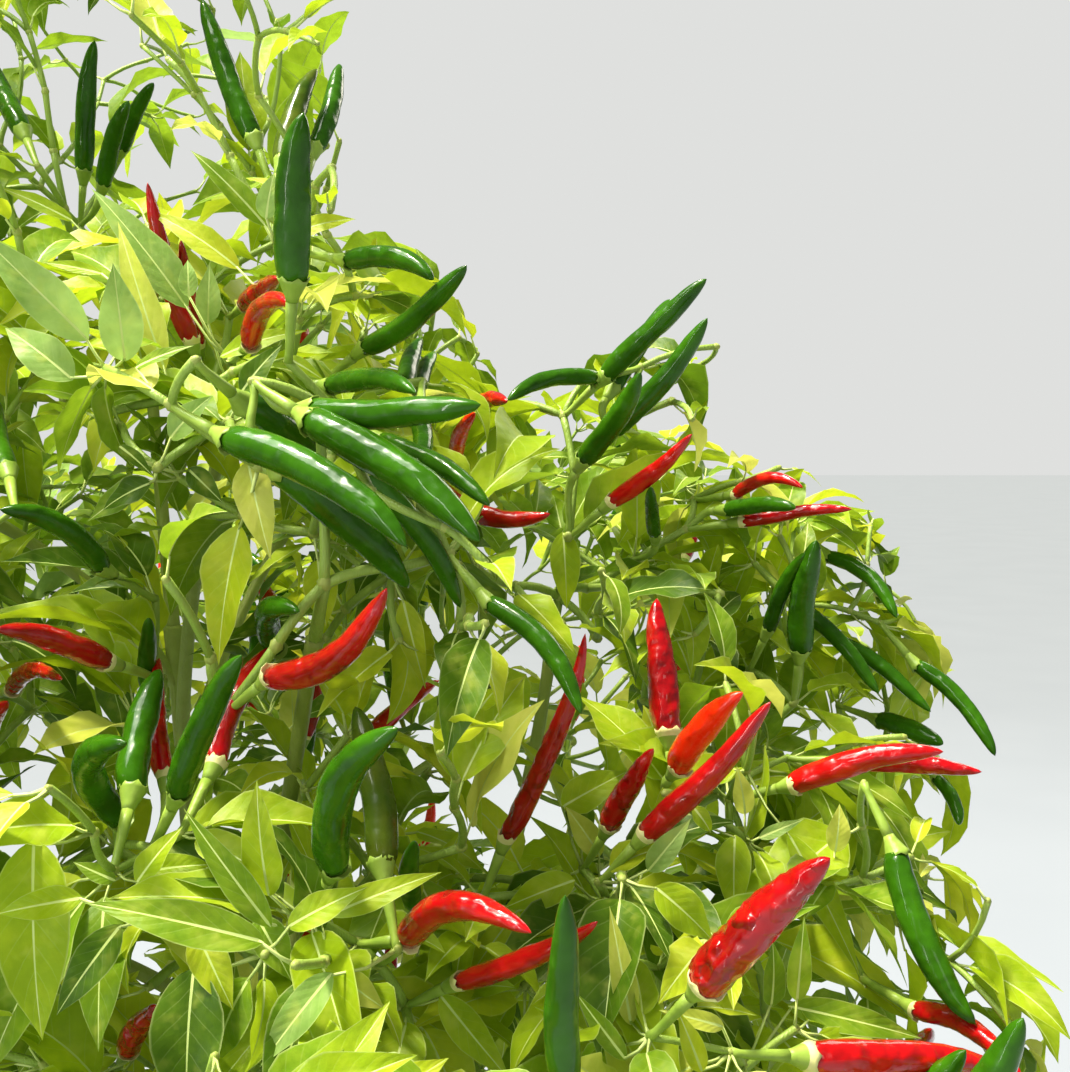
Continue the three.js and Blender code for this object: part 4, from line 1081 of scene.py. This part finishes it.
def grow_leaf(fork, turn, ages, ends):
    """A seeded leaf at a fork, at a turn round its twig, or None where it doesn't fit."""
    outward = (fork.place - CROWN_HEART).normalized()
    first, second = square_to(fork.way)
    spread = math.radians(30 + 50 * next(leaf_draw))
    radial = first * math.cos(turn) + second * math.sin(turn)
    way = fork.way * math.cos(spread) + radial * math.sin(spread) + outward * 0.35
    way.z -= 0.5 * next(leaf_draw)
    way.normalize()
    low, high = LEAF_LONG[ages]
    long = low + (high - low) * next(leaf_draw)
    if ends and next(leaf_draw) < LEAF_YOUNG_CHANCE:
        long *= LEAF_YOUNG
    base = fork.place + (fork.way * 0.3 + way).normalized() * (0.12 * long + 0.004)
    up = Vector((0, 0, 1)) + outward * 0.5
    up += Vector([next(leaf_draw) - 0.5 for _ in range(3)])
    wide = long * (LEAF_WIDE[0] + (LEAF_WIDE[1] - LEAF_WIDE[0]) * next(leaf_draw))
    deal = DEALS[fork.mass in SHADED]
    other = deal[int(next(leaf_draw) * len(deal))]
    tint = other if next(leaf_draw) < LEAF_OTHER_TINT else fork.tint
    bends = {
        "fold": 0.12 + 0.45 * next(leaf_draw),
        "droop": 0.35 + 1.1 * next(leaf_draw) ** 1.4,
        "twist": 1.6 * (next(leaf_draw) - 0.5),
        "wave": 0.10 + 0.20 * next(leaf_draw),
        "phase": 6.28 * next(leaf_draw),
    }
    if up.cross(way).length < 0.15:
        return None
    leaf = Leaf(base, way, up, long, wide, tint, **bends)
    leaf.foot = fork.place
    return leaf if leaf_fits(leaf, fork) else None


for mass, forks in forks_of.items():
    deal = DEALS[mass in SHADED]
    for number, fork in enumerate(forks):
        old = number < fork_stage[mass]
        dealt = deal[int(next(leaf_draw) * len(deal))]
        fork.tint = dealt if old or next(leaf_draw) < TWIG_OTHER_TINT else fork.source.tint
        ends = not fork.twigs
        turn = next(leaf_draw) * 2 * math.pi
        for _ in range(LEAVES_AT_TIP if ends else LEAVES_AT_FORK):
            if is_airy(fork.place) and next(leaf_draw) < AIRY_SHARE:
                continue
            for _ in range(LEAF_TRIES):
                turn += GOLDEN
                leaf = grow_leaf(fork, turn, "old" if old else "fine", ends)
                if leaf:
                    fork.leaves.append(leaf)
                    break
    bare = True
    while bare:
        bare = [fork for fork in forks if fork.source and not (fork.leaves or fork.pods or fork.twigs)]
        for fork in bare:
            fork.source.twigs.remove(fork)
            forks.remove(fork)


class Mesh:
    """Gathers the places, faces and finishes of many small things for one joined piece."""

    def __init__(self):
        self.places, self.faces, self.finishes = [], [], []

    def ring(self, centre, way, radius, sides, steady):
        first = (steady - way * steady.dot(way)).normalized()
        second = way.cross(first)
        base = len(self.places)
        for i in range(sides):
            turn = i * 2 * math.pi / sides
            out = radius(turn) if callable(radius) else radius
            self.places.append(centre + (first * math.cos(turn) + second * math.sin(turn)) * out)
        return list(range(base, base + sides))

    def close(self, ring, place, finish, downward=False):
        self.places.append(place)
        tip = len(self.places) - 1
        for i in range(len(ring)):
            pair = (ring[i], ring[(i + 1) % len(ring)])
            self.faces.append((*(reversed(pair) if downward else pair), tip))
            self.finishes.append(finish)

    def skin(self, rings, foot, tip, finishes):
        """One closed skin over a row of rings, with a finish for each step between them."""
        self.close(rings[0], foot, finishes[0], True)
        for lower, upper, finish in zip(rings, rings[1:], finishes):
            for i in range(len(lower)):
                j = (i + 1) % len(lower)
                self.faces.append((lower[i], lower[j], upper[j], upper[i]))
                self.finishes.append(finish)
        self.close(rings[-1], tip, finishes[-1])

    def tube(self, spine, radii, sides, finish, ends):
        """A closed tube along a row of places."""
        count = len(spine)
        ways = [(spine[min(i + 1, count - 1)] - spine[max(i - 1, 0)]).normalized() for i in range(count)]
        steady = (spine[-1] - spine[0]).orthogonal().normalized()
        rings = [self.ring(*turned, sides, steady) for turned in zip(spine, ways, radii)]
        foot, tip = spine[0] - ways[0] * radii[0] * ends, spine[-1] + ways[-1] * radii[-1] * ends
        self.skin(rings, foot, tip, [finish] * count)

    def knob(self, centre, way, radius, sides, finish):
        """A small closed knob, a little longer than wide."""
        spine = [centre + way * (radius * lift) for lift in (-0.9, 0, 0.9)]
        self.tube(spine, [radius * 0.6614, radius, radius * 0.6614], sides, finish, 0.4536)

    def piece(self, name, materials, slot, *nodes):
        mesh = bpy.data.meshes.new(name)
        mesh.from_pydata([tuple(place) for place in self.places], [], self.faces)
        for material in materials:
            mesh.materials.append(material)
        mesh.polygons.foreach_set("material_index", self.finishes)
        mesh.polygons.foreach_set("use_smooth", [True] * len(self.faces))
        piece = bpy.data.objects.new(name, mesh)
        bpy.context.collection.objects.link(piece)
        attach(piece, "root")
        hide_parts(*nodes)
        return piece


def add_blades(mesh, leaves, rows, columns):
    """Adds many leaf blades at once, and returns where each corner lies on its blade."""
    rows, wide_steps, count = np.array(rows), len(columns), len(leaves)
    if not count:
        return np.empty((0, 2))
    base, way, up = (np.array([getattr(leaf, key) for leaf in leaves]) for key in ("base", "way", "up"))
    long, wide, fold, droop, twist, wave, phase = (
        np.array([getattr(leaf, key) for leaf in leaves])
        for key in ("long", "wide", "fold", "droop", "twist", "wave", "phase")
    )
    side = np.cross(way, up)
    steps = np.append(rows, 1.0)
    turn = (droop[:, None] * steps)[..., None]
    scale = (long / droop)[:, None, None]
    spine = base[:, None] + scale * np.sin(turn) * way[:, None] - scale * (1 - np.cos(turn)) * up[:, None]
    tall = np.sin(turn) * way[:, None] + np.cos(turn) * up[:, None]
    roll = (twist[:, None] * steps)[..., None]
    across = side[:, None] * np.cos(roll) + tall * np.sin(roll)
    tall = tall * np.cos(roll) - side[:, None] * np.sin(roll)
    half = wide[:, None] / 2 * np.maximum(blade_share(rows), 0.05)
    rib = np.minimum(RIB_HALF * (1.15 - rows), half * 0.3)
    size = len(rows) * wide_steps + 1
    places = np.empty((count, size, 3))
    pattern = np.empty((count, size, 2))
    for k, column in enumerate(columns):
        reach = rib * np.sign(column) if abs(column) < 0.01 else half * column
        share = np.abs(reach) / half
        ripple = np.sin(rows * 12 + phase[:, None] + (2.1 if column > 0 else 0)) * share**2
        lift = np.abs(reach) * np.tan(fold)[:, None] + wave[:, None] * half * ripple
        spots = spine[:, :-1] + across[:, :-1] * (reach * np.cos(fold)[:, None])[..., None]
        places[:, k:-1:wide_steps] = spots + tall[:, :-1] * lift[..., None]
        pattern[:, k:-1:wide_steps, 0] = 0.5 + 0.5 * column
        pattern[:, k:-1:wide_steps, 1] = rows
    places[:, -1] = spine[:, -1]
    pattern[:, -1] = (0.5, 1.0)
    last = (len(rows) - 1) * wide_steps
    faces = [
        (r * wide_steps + c, r * wide_steps + c + 1, (r + 1) * wide_steps + c + 1, (r + 1) * wide_steps + c)
        for r in range(len(rows) - 1)
        for c in range(wide_steps - 1)
    ]
    faces += [(last + c, last + c + 1, size - 1) for c in range(wide_steps - 1)]
    ribs = [face[0] % wide_steps == wide_steps // 2 - 1 for face in faces]
    start = len(mesh.places)
    mesh.places += places.reshape(-1, 3).tolist()
    for leaf in leaves:
        tint = TINTS.index(leaf.tint)
        mesh.faces += [tuple(start + corner for corner in face) for face in faces]
        mesh.finishes += [len(TINTS) if is_rib else tint for is_rib in ribs]
        start += size
    return pattern.reshape(-1, 2)


def leaf_skin(name, light, deep):
    """A blade with paler side veins and margin, mottled between the veins, that light shines through."""
    skin = Finish(f"leaf_{name}", IOR=1.4, Specular_IOR_Level=0.38)
    where = skin.node("UVMap", {"uv_map": "blade"})
    side = skin.node("SeparateXYZ", {}, {0: where})
    rows = skin.node("SeparateXYZ", {}, {0: where}, output=1)
    over = abs(side - 0.5) * 2
    ridge = (rows * 8 - over * 1.7).pingpong(0.5)
    vein = ((0.06 - ridge) * 16).kept() * (1 - over * 0.7)
    margin = ((over - 0.93) * 14).kept()
    mottle = skin.grain(230, 3)
    broad = skin.grain(48, 2)
    bright = ((mottle - 0.34) * 2.0 + (broad - 0.5) * 1.8).kept()
    blade = skin.mixed(bright, paint(deep), paint(light))
    faded = ((skin.grain(150, 2) - 0.5) * 5 + (broad - 0.55) * 3).kept() * (1 - vein) * (1 - over * over)
    blade = skin.mixed(faded * 0.4, blade, paint("#d6dc62"))
    blade = skin.mixed(vein * 0.16 + margin * 0.5, blade, paint("#dbe69a"))
    skin.dress(
        Base_Color=blade,
        Roughness=0.36 + mottle * 0.2,
        Normal=skin.bump(ridge * 0.25 + mottle * 0.7, 0.0005),
    )
    through = [low + (high - low) * LEAF_THROUGH for low, high in zip(paint(deep), paint(light))]
    skin.glow_through(through, (LEAF_GLOW[0] + bright * LEAF_GLOW[1]) * (1 - vein * 0.35))
    return skin.material


def patchy(name, scale, detail, first, second, relief=0.0, **constants):
    """A finish of two colours in patches, raised with them where it has a relief."""
    skin = Finish(name, **constants)
    patches = skin.grain(scale, detail)
    skin.dress(Base_Color=skin.mixed(patches, paint(first), paint(second)))
    if relief:
        skin.dress(Normal=skin.bump(patches, relief))
    return skin.material


leaf_skins = [leaf_skin(name, *LEAF_TINTS[name]) for name in TINTS]
leaf_skins.append(patchy("leaf_rib", 120, 2, "#a9c25c", "#cfdc90", Roughness=0.5, IOR=1.4))


def leaf_piece(name, masses):
    mesh = Mesh()
    leaves = [leaf for mass in masses for fork in forks_of[mass] for leaf in fork.leaves]
    _, _, away = pictured([leaf.base for leaf in leaves])
    shown = [in_picture(leaf.spine_place(0.5), PICTURE_BESIDE) for leaf in leaves]
    away = [far if shows else math.inf for shows, far in zip(shown, away)]
    pattern, nearest = [], -1
    for farthest, rows, columns in BLADES:
        some = [leaf for leaf, far in zip(leaves, away) if nearest < far <= farthest]
        pattern.append(add_blades(mesh, some, rows, columns))
        nearest = farthest
    blades = len(mesh.places)
    for leaf in leaves:
        foot, base = leaf.foot, leaf.base
        sag = foot.lerp(base, 0.5) - Vector((0, 0, 0.08 * (base - foot).length))
        radii = (0.0009, 0.0006, 0.0005)
        mesh.tube([foot, sag, leaf.spine_place(0.03)], radii, 3, len(TINTS), 0.1)
    piece = mesh.piece(name, leaf_skins, "foliage", *[f"foliage_{mass}" for mass in masses])
    pattern.append(np.full((len(mesh.places) - blades, 2), 0.5))
    corners = np.empty(len(piece.data.loops), int)
    piece.data.loops.foreach_get("vertex_index", corners)
    layer = piece.data.uv_layers.new(name="blade")
    layer.data.foreach_set("uv", np.vstack(pattern)[corners].ravel())


leaf_piece("leaves_top", ("top", "upper_left"))
leaf_piece("leaves_upper", ("top_front", "upper_back", "upper_right"))
leaf_piece("leaves_front", ("front", "front_low", "front_left", "front_under"))
leaf_piece("leaves_right", ("right", "right_front", "right_low"))
leaf_piece("leaves_back", ("back_right", "back", "back_left", "back_low"))
leaf_piece("leaves_left", ("left", "left_low"))

# Twigs: green, forked again and again and a little zig-zag, with a swollen node at every fork.
# Tubes of a few sides, each bent out of the way of the twig that it grows from.
TWIG_RADII = (0.0021, 0.0009)
TWIG_THINNEST = 0.240
TWIG_SIDES, TWIG_RINGS = 6, 4
TWIG_COLLAR, TWIG_END = 1.15, 0.5
KNOT_SWELL, TIP_SWELL = 1.4, 1.15
all_foliage = [f"foliage_{name}" for name in MASSES]


def twig_radius(run):
    share = min(run / TWIG_THINNEST, 1)
    return TWIG_RADII[0] + (TWIG_RADII[1] - TWIG_RADII[0]) * share


twigs = Mesh()
for mass, forks in forks_of.items():
    for fork in forks:
        end = twig_radius(fork.run)
        start = BOUGH_RADII[1] if fork.source is None else min(twig_radius(fork.source.run), end * 1.3)
        spine = [along(fork.curve, i / TWIG_RINGS) for i in range(TWIG_RINGS + 1)]
        radii = [start + (end - start) * i / TWIG_RINGS for i in range(TWIG_RINGS + 1)]
        radii[-1] *= TWIG_COLLAR
        twigs.tube(spine, radii, TWIG_SIDES, 0, TWIG_END)
        swell = KNOT_SWELL if fork.twigs else TIP_SWELL
        twigs.knob(fork.place, fork.way, end * swell, TWIG_SIDES, 1)
green_stem = Finish("green_stem", Roughness=0.42, IOR=1.42)
patches = green_stem.grain(60, 3)
ribs = green_stem.grain(1.0, 2, 0.5, green_stem.stretched((1400, 1400, 160)))
green_stem.dress(
    Base_Color=green_stem.mixed(patches * 0.6 + ribs * 0.4, paint("#6f9130"), paint("#a2ba56")),
    Normal=green_stem.bump(ribs, 0.0004),
)
knot = patchy("knot", 300, 3, "#8a9443", "#a5b85c", 0.0006, Roughness=0.5, IOR=1.42)
twigs.piece("twigs", [green_stem.material, knot], "green_wood", *all_foliage)

# Stalks, caps and pods: a stalk thickens towards a green cap with four to six small teeth, whose
# rim is cream on a ripe pod. The pod is a slim cone with a blunt tip, lumpy and glossy, and where
# it is over-ripe its skin is drawn into dimples and creases.
STALK_SIDES, STALK_RINGS = 8, 7
STALK_RADII = (0.0013, 0.0021)
STALK_FOOT, STALK_END = 1.35, 0.2
CAP_LONG = 0.0064
CAP_TEETH = {"near": 6, "far": 4}
CAP_FORM = (
    (-1.0, 0.0, 0.95, 0.0),
    (-0.72, 0.06, 1.0, 0.0),
    (-0.42, 0.27, 0.80, 0.0),
    (-0.14, 0.54, 0.40, 0.0),
    (0.08, 0.76, 0.10, 0.0),
    (0.22, 0.89, 0.0, 0.22),
    (0.24, 0.84, 0.0, 0.20),
    (-0.02, 0.60, 0.0, 0.0),
)
CAP_GREEN_STEPS = 3
POD_FORMS = {"near": (20, 30), "far": (12, 16)}
POD_SHOULDER, POD_SHOULDER_LONG, POD_TAPER = 0.24, 0.06, 0.58
POD_LUMPS, POD_WAVER, POD_WAVERS = 0.10, 0.012, 6.5
SKINS = {
    "green": ("#366a0a", "#1f4604", 0.19, 4.2, 0.055, 0.0007),
    "olive": ("#56621a", "#2a4609", 0.21, 4.0, 0.050, 0.0006),
    "dark": ("#376a0c", "#204804", 0.24, 4.2, 0.050, 0.0006),
    "crimson": ("#bc040e", "#880108", 0.17, 2.8, 0.090, 0.0014),
    "red": ("#d0080c", "#9e0308", 0.17, 3.0, 0.070, 0.0011),
    "wrinkled": ("#ba040c", "#7e0107", 0.16, 2.5, 0.150, 0.0026),
    "orange": ("#ee3206", "#d21604", 0.20, 3.2, 0.035, 0.0007),
}
RIPE = ("crimson", "red", "wrinkled", "orange")
UNRIPE = ("green", "olive", "dark")
stalks, green_pods, ripe_pods = Mesh(), Mesh(), Mesh()


def grow_stalk(fork, pod, form):
    reach = (pod.cap - fork.place).length
    foot, end = fork.place, pod.cap - pod.way * CAP_LONG
    lift = foot.lerp(end, 0.4) - Vector((0, 0, 0.03 * reach))
    lead = end - pod.way * min(0.45 * reach, 0.014)
    spine, radii = [], []
    for i in range(STALK_RINGS + 1):
        u = i / STALK_RINGS
        place = foot * (1 - u) ** 3 + lift * (3 * u * (1 - u) ** 2)
        spine.append(place + lead * (3 * u * u * (1 - u)) + end * u**3)
        radii.append(STALK_RADII[0] + (STALK_RADII[1] - STALK_RADII[0]) * u**1.5)
    radii[0] *= STALK_FOOT
    stalks.tube(spine, radii, STALK_SIDES, 0, STALK_END)
    sides, rings = CAP_TEETH[form] * 3, []
    for at, of_pod, of_stalk, tooth in CAP_FORM:
        out = pod.girth / 2 * of_pod + STALK_RADII[1] * of_stalk
        ring = stalks.ring(pod.cap + pod.way * (at * CAP_LONG), pod.way, out, sides, pod.bow_way)
        for i in range(0, sides, 3):
            stalks.places[ring[i]] += pod.way * (CAP_LONG * tooth)
        rings.append(ring)
    rim = 1 if pod.finish in RIPE else 0
    finishes = [0] * CAP_GREEN_STEPS + [rim] * (len(rings) - CAP_GREEN_STEPS)
    stalks.skin(rings, pod.cap - pod.way * CAP_LONG, pod.cap + pod.way * 0.001, finishes)


def grow_pod(pod, form):
    sides, steps = POD_FORMS[form]
    ripe = pod.finish in RIPE
    mesh = ripe_pods if ripe else green_pods
    finish = (RIPE if ripe else UNRIPE).index(pod.finish)
    _, _, _, blunt, crease, _ = SKINS[pod.finish]
    curve, shift, rings = pod.curve(), pod.cap * 40, []
    blunt *= 1 + 0.35 * noise.noise(shift * 3)
    waver = pod.bow_way * (POD_WAVER * pod.long)
    for i in range(steps):
        t = 0.994 * i / (steps - 1)
        t = 0.5 * t + 0.5 * math.sin(t * math.pi / 2)
        u = 0.01 + 0.985 * t
        centre = along(curve, u) + waver * (math.sin(POD_WAVERS * u + shift.x) * u)
        shoulder = 1 - POD_SHOULDER * math.exp(-t / POD_SHOULDER_LONG)
        share = shoulder * (1 - t**blunt) ** POD_TAPER * pod.girth / 2

        def wide(turn, share=share, t=t):
            spot = Vector((math.cos(turn), math.sin(turn), 0))
            lump = noise.noise(spot * 0.8 + Vector((0, 0, t * 5)) + shift)
            fold = noise.noise(spot * 1.9 + Vector((0, 0, t * 11)) + shift)
            return share * (1 + POD_LUMPS * lump + crease * (0.6 * fold - 1.8 * abs(fold)))

        rings.append(mesh.ring(centre, heading(curve, u), wide, sides, pod.bow_way))
    foot = along(curve, 0.01) - heading(curve, 0.01) * 0.0003
    mesh.skin(rings, foot, pod.tip + waver * math.sin(POD_WAVERS + shift.x), [finish] * steps)


for forks in forks_of.values():
    for fork in forks:
        for pod in fork.pods:
            form = "near" if in_picture(pod.cap) or in_picture(pod.tip) else "far"
            grow_stalk(fork, pod, form)
            grow_pod(pod, form)


def pod_skin(name):
    light, deep, gloss, _, _, dimple = SKINS[name]
    sheen, coat = (0.35, 0.85) if name in RIPE else (0.14, 0.4)
    skin = Finish(f"pod_{name}", IOR=1.4, Specular_IOR_Level=sheen, Coat_Roughness=0.05, Coat_IOR=1.4)
    blush = skin.grain(55, 3)
    fine = skin.grain(340, 2)
    dents = skin.grain(150, 1, 0.4)
    if name == "wrinkled":
        dents = dents * 0.8 + abs(skin.grain(150, 1, 0.5) - 0.5) * 0.5
    skin.dress(
        Base_Color=skin.mixed((blush * 2.2 - 0.6).kept(), paint(deep), paint(light)),
        Roughness=gloss + fine * 0.14,
        Coat_Weight=coat,
        Normal=skin.bump(dents, dimple * 2.2),
    )
    return skin.material


green_pods.piece("pods_green", [pod_skin(name) for name in UNRIPE], "foliage", *all_foliage)
ripe_pods.piece("pods_ripe", [pod_skin(name) for name in RIPE], "foliage", *all_foliage)
cap_green = patchy("cap_green", 140, 3, "#6c9028", "#a3bb50", 0.0006, Roughness=0.42, IOR=1.42)
cap_cream = patchy("cap_cream", 260, 2, "#e6dfa8", "#cfd07e", Roughness=0.5, IOR=1.42)
stalks.piece("stalks_and_caps", [cap_green, cap_cream], "foliage", *all_foliage)

# Floor and light: a plain grey floor under the cut foot of the stem, a broad sun from high above
# on the left beside a soft panel, a tall strip at the front left, a weak fill from the front, a
# weak rim from behind and a pale surround.
FLOOR_WIDE = 60
SUN_FROM = Vector((-0.34, 0.02, 1))
SUN_POWER, SUN_BROAD = 6.6, 7
LIGHTS_AIM = Vector((0.05, -0.05, 0.6))
SURROUND, SURROUND_SHOWN, SURROUND_MIRRORED = 0.46, 0.38, 0.26
LIGHTS = [
    ("panel", (-0.55, -0.35, 2.1), (0.9, 0.9), 42, "#fffdf6"),
    ("strip", (-1.25, -1.75, 1.05), (0.10, 2.0), 20, "#fffdf8"),
    ("fill", (0.9, -2.4, 1.5), (0.7, 0.7), 5, "#fffaf0"),
    ("rim", (1.2, 1.8, 1.9), (0.9, 0.9), 16, "#fff8e8"),
]
bpy.ops.object.select_all(action="DESELECT")
bpy.ops.mesh.primitive_plane_add(size=FLOOR_WIDE, location=(0, 0, 0))
floor = bpy.context.object
floor.name = "floor"
floor_skin = patchy("floor", 3, 2, "#8f97a3", "#949ca8", Roughness=0.9, Specular_IOR_Level=0.1)
floor.data.materials.append(floor_skin)
bpy.ops.object.select_all(action="DESELECT")
sun_turn = SUN_FROM.to_track_quat("Z", "Y").to_euler()
bpy.ops.object.light_add(type="SUN", location=SUN_FROM * 3, rotation=sun_turn)
sun = bpy.context.object
sun.name = "sun"
sun.data.energy = SUN_POWER
sun.data.angle = math.radians(SUN_BROAD)
sun.data.color = paint("#fff4dc")[:3]
for name, place, (wide, tall), power, tone in LIGHTS:
    bpy.ops.object.select_all(action="DESELECT")
    turn = (LIGHTS_AIM - Vector(place)).to_track_quat("-Z", "Y").to_euler()
    bpy.ops.object.light_add(type="AREA", location=place, rotation=turn)
    lamp = bpy.context.object
    lamp.name = name
    lamp.data.shape = "RECTANGLE"
    lamp.data.size, lamp.data.size_y = wide, tall
    lamp.data.energy = power
    lamp.data.color = paint(tone)[:3]


class Surround(Finish):
    """The light all round, put together from expressions too."""

    def __init__(self):
        self.world = bpy.data.worlds.new("surround")
        self.world.use_nodes = True
        self.tree = self.world.node_tree
        self.shader = self.tree.nodes["Background"]


surround = Surround()
seen_directly = surround.node("LightPath", output="Is Camera Ray")
mirrored = surround.node("LightPath", output="Is Glossy Ray")
strength = seen_directly * SURROUND_SHOWN + SURROUND - mirrored * SURROUND_MIRRORED
surround.dress(Color=paint("#f1f2f0"), Strength=strength)
bpy.context.scene.world = surround.world
bpy.context.scene.view_settings.view_transform = "Standard"
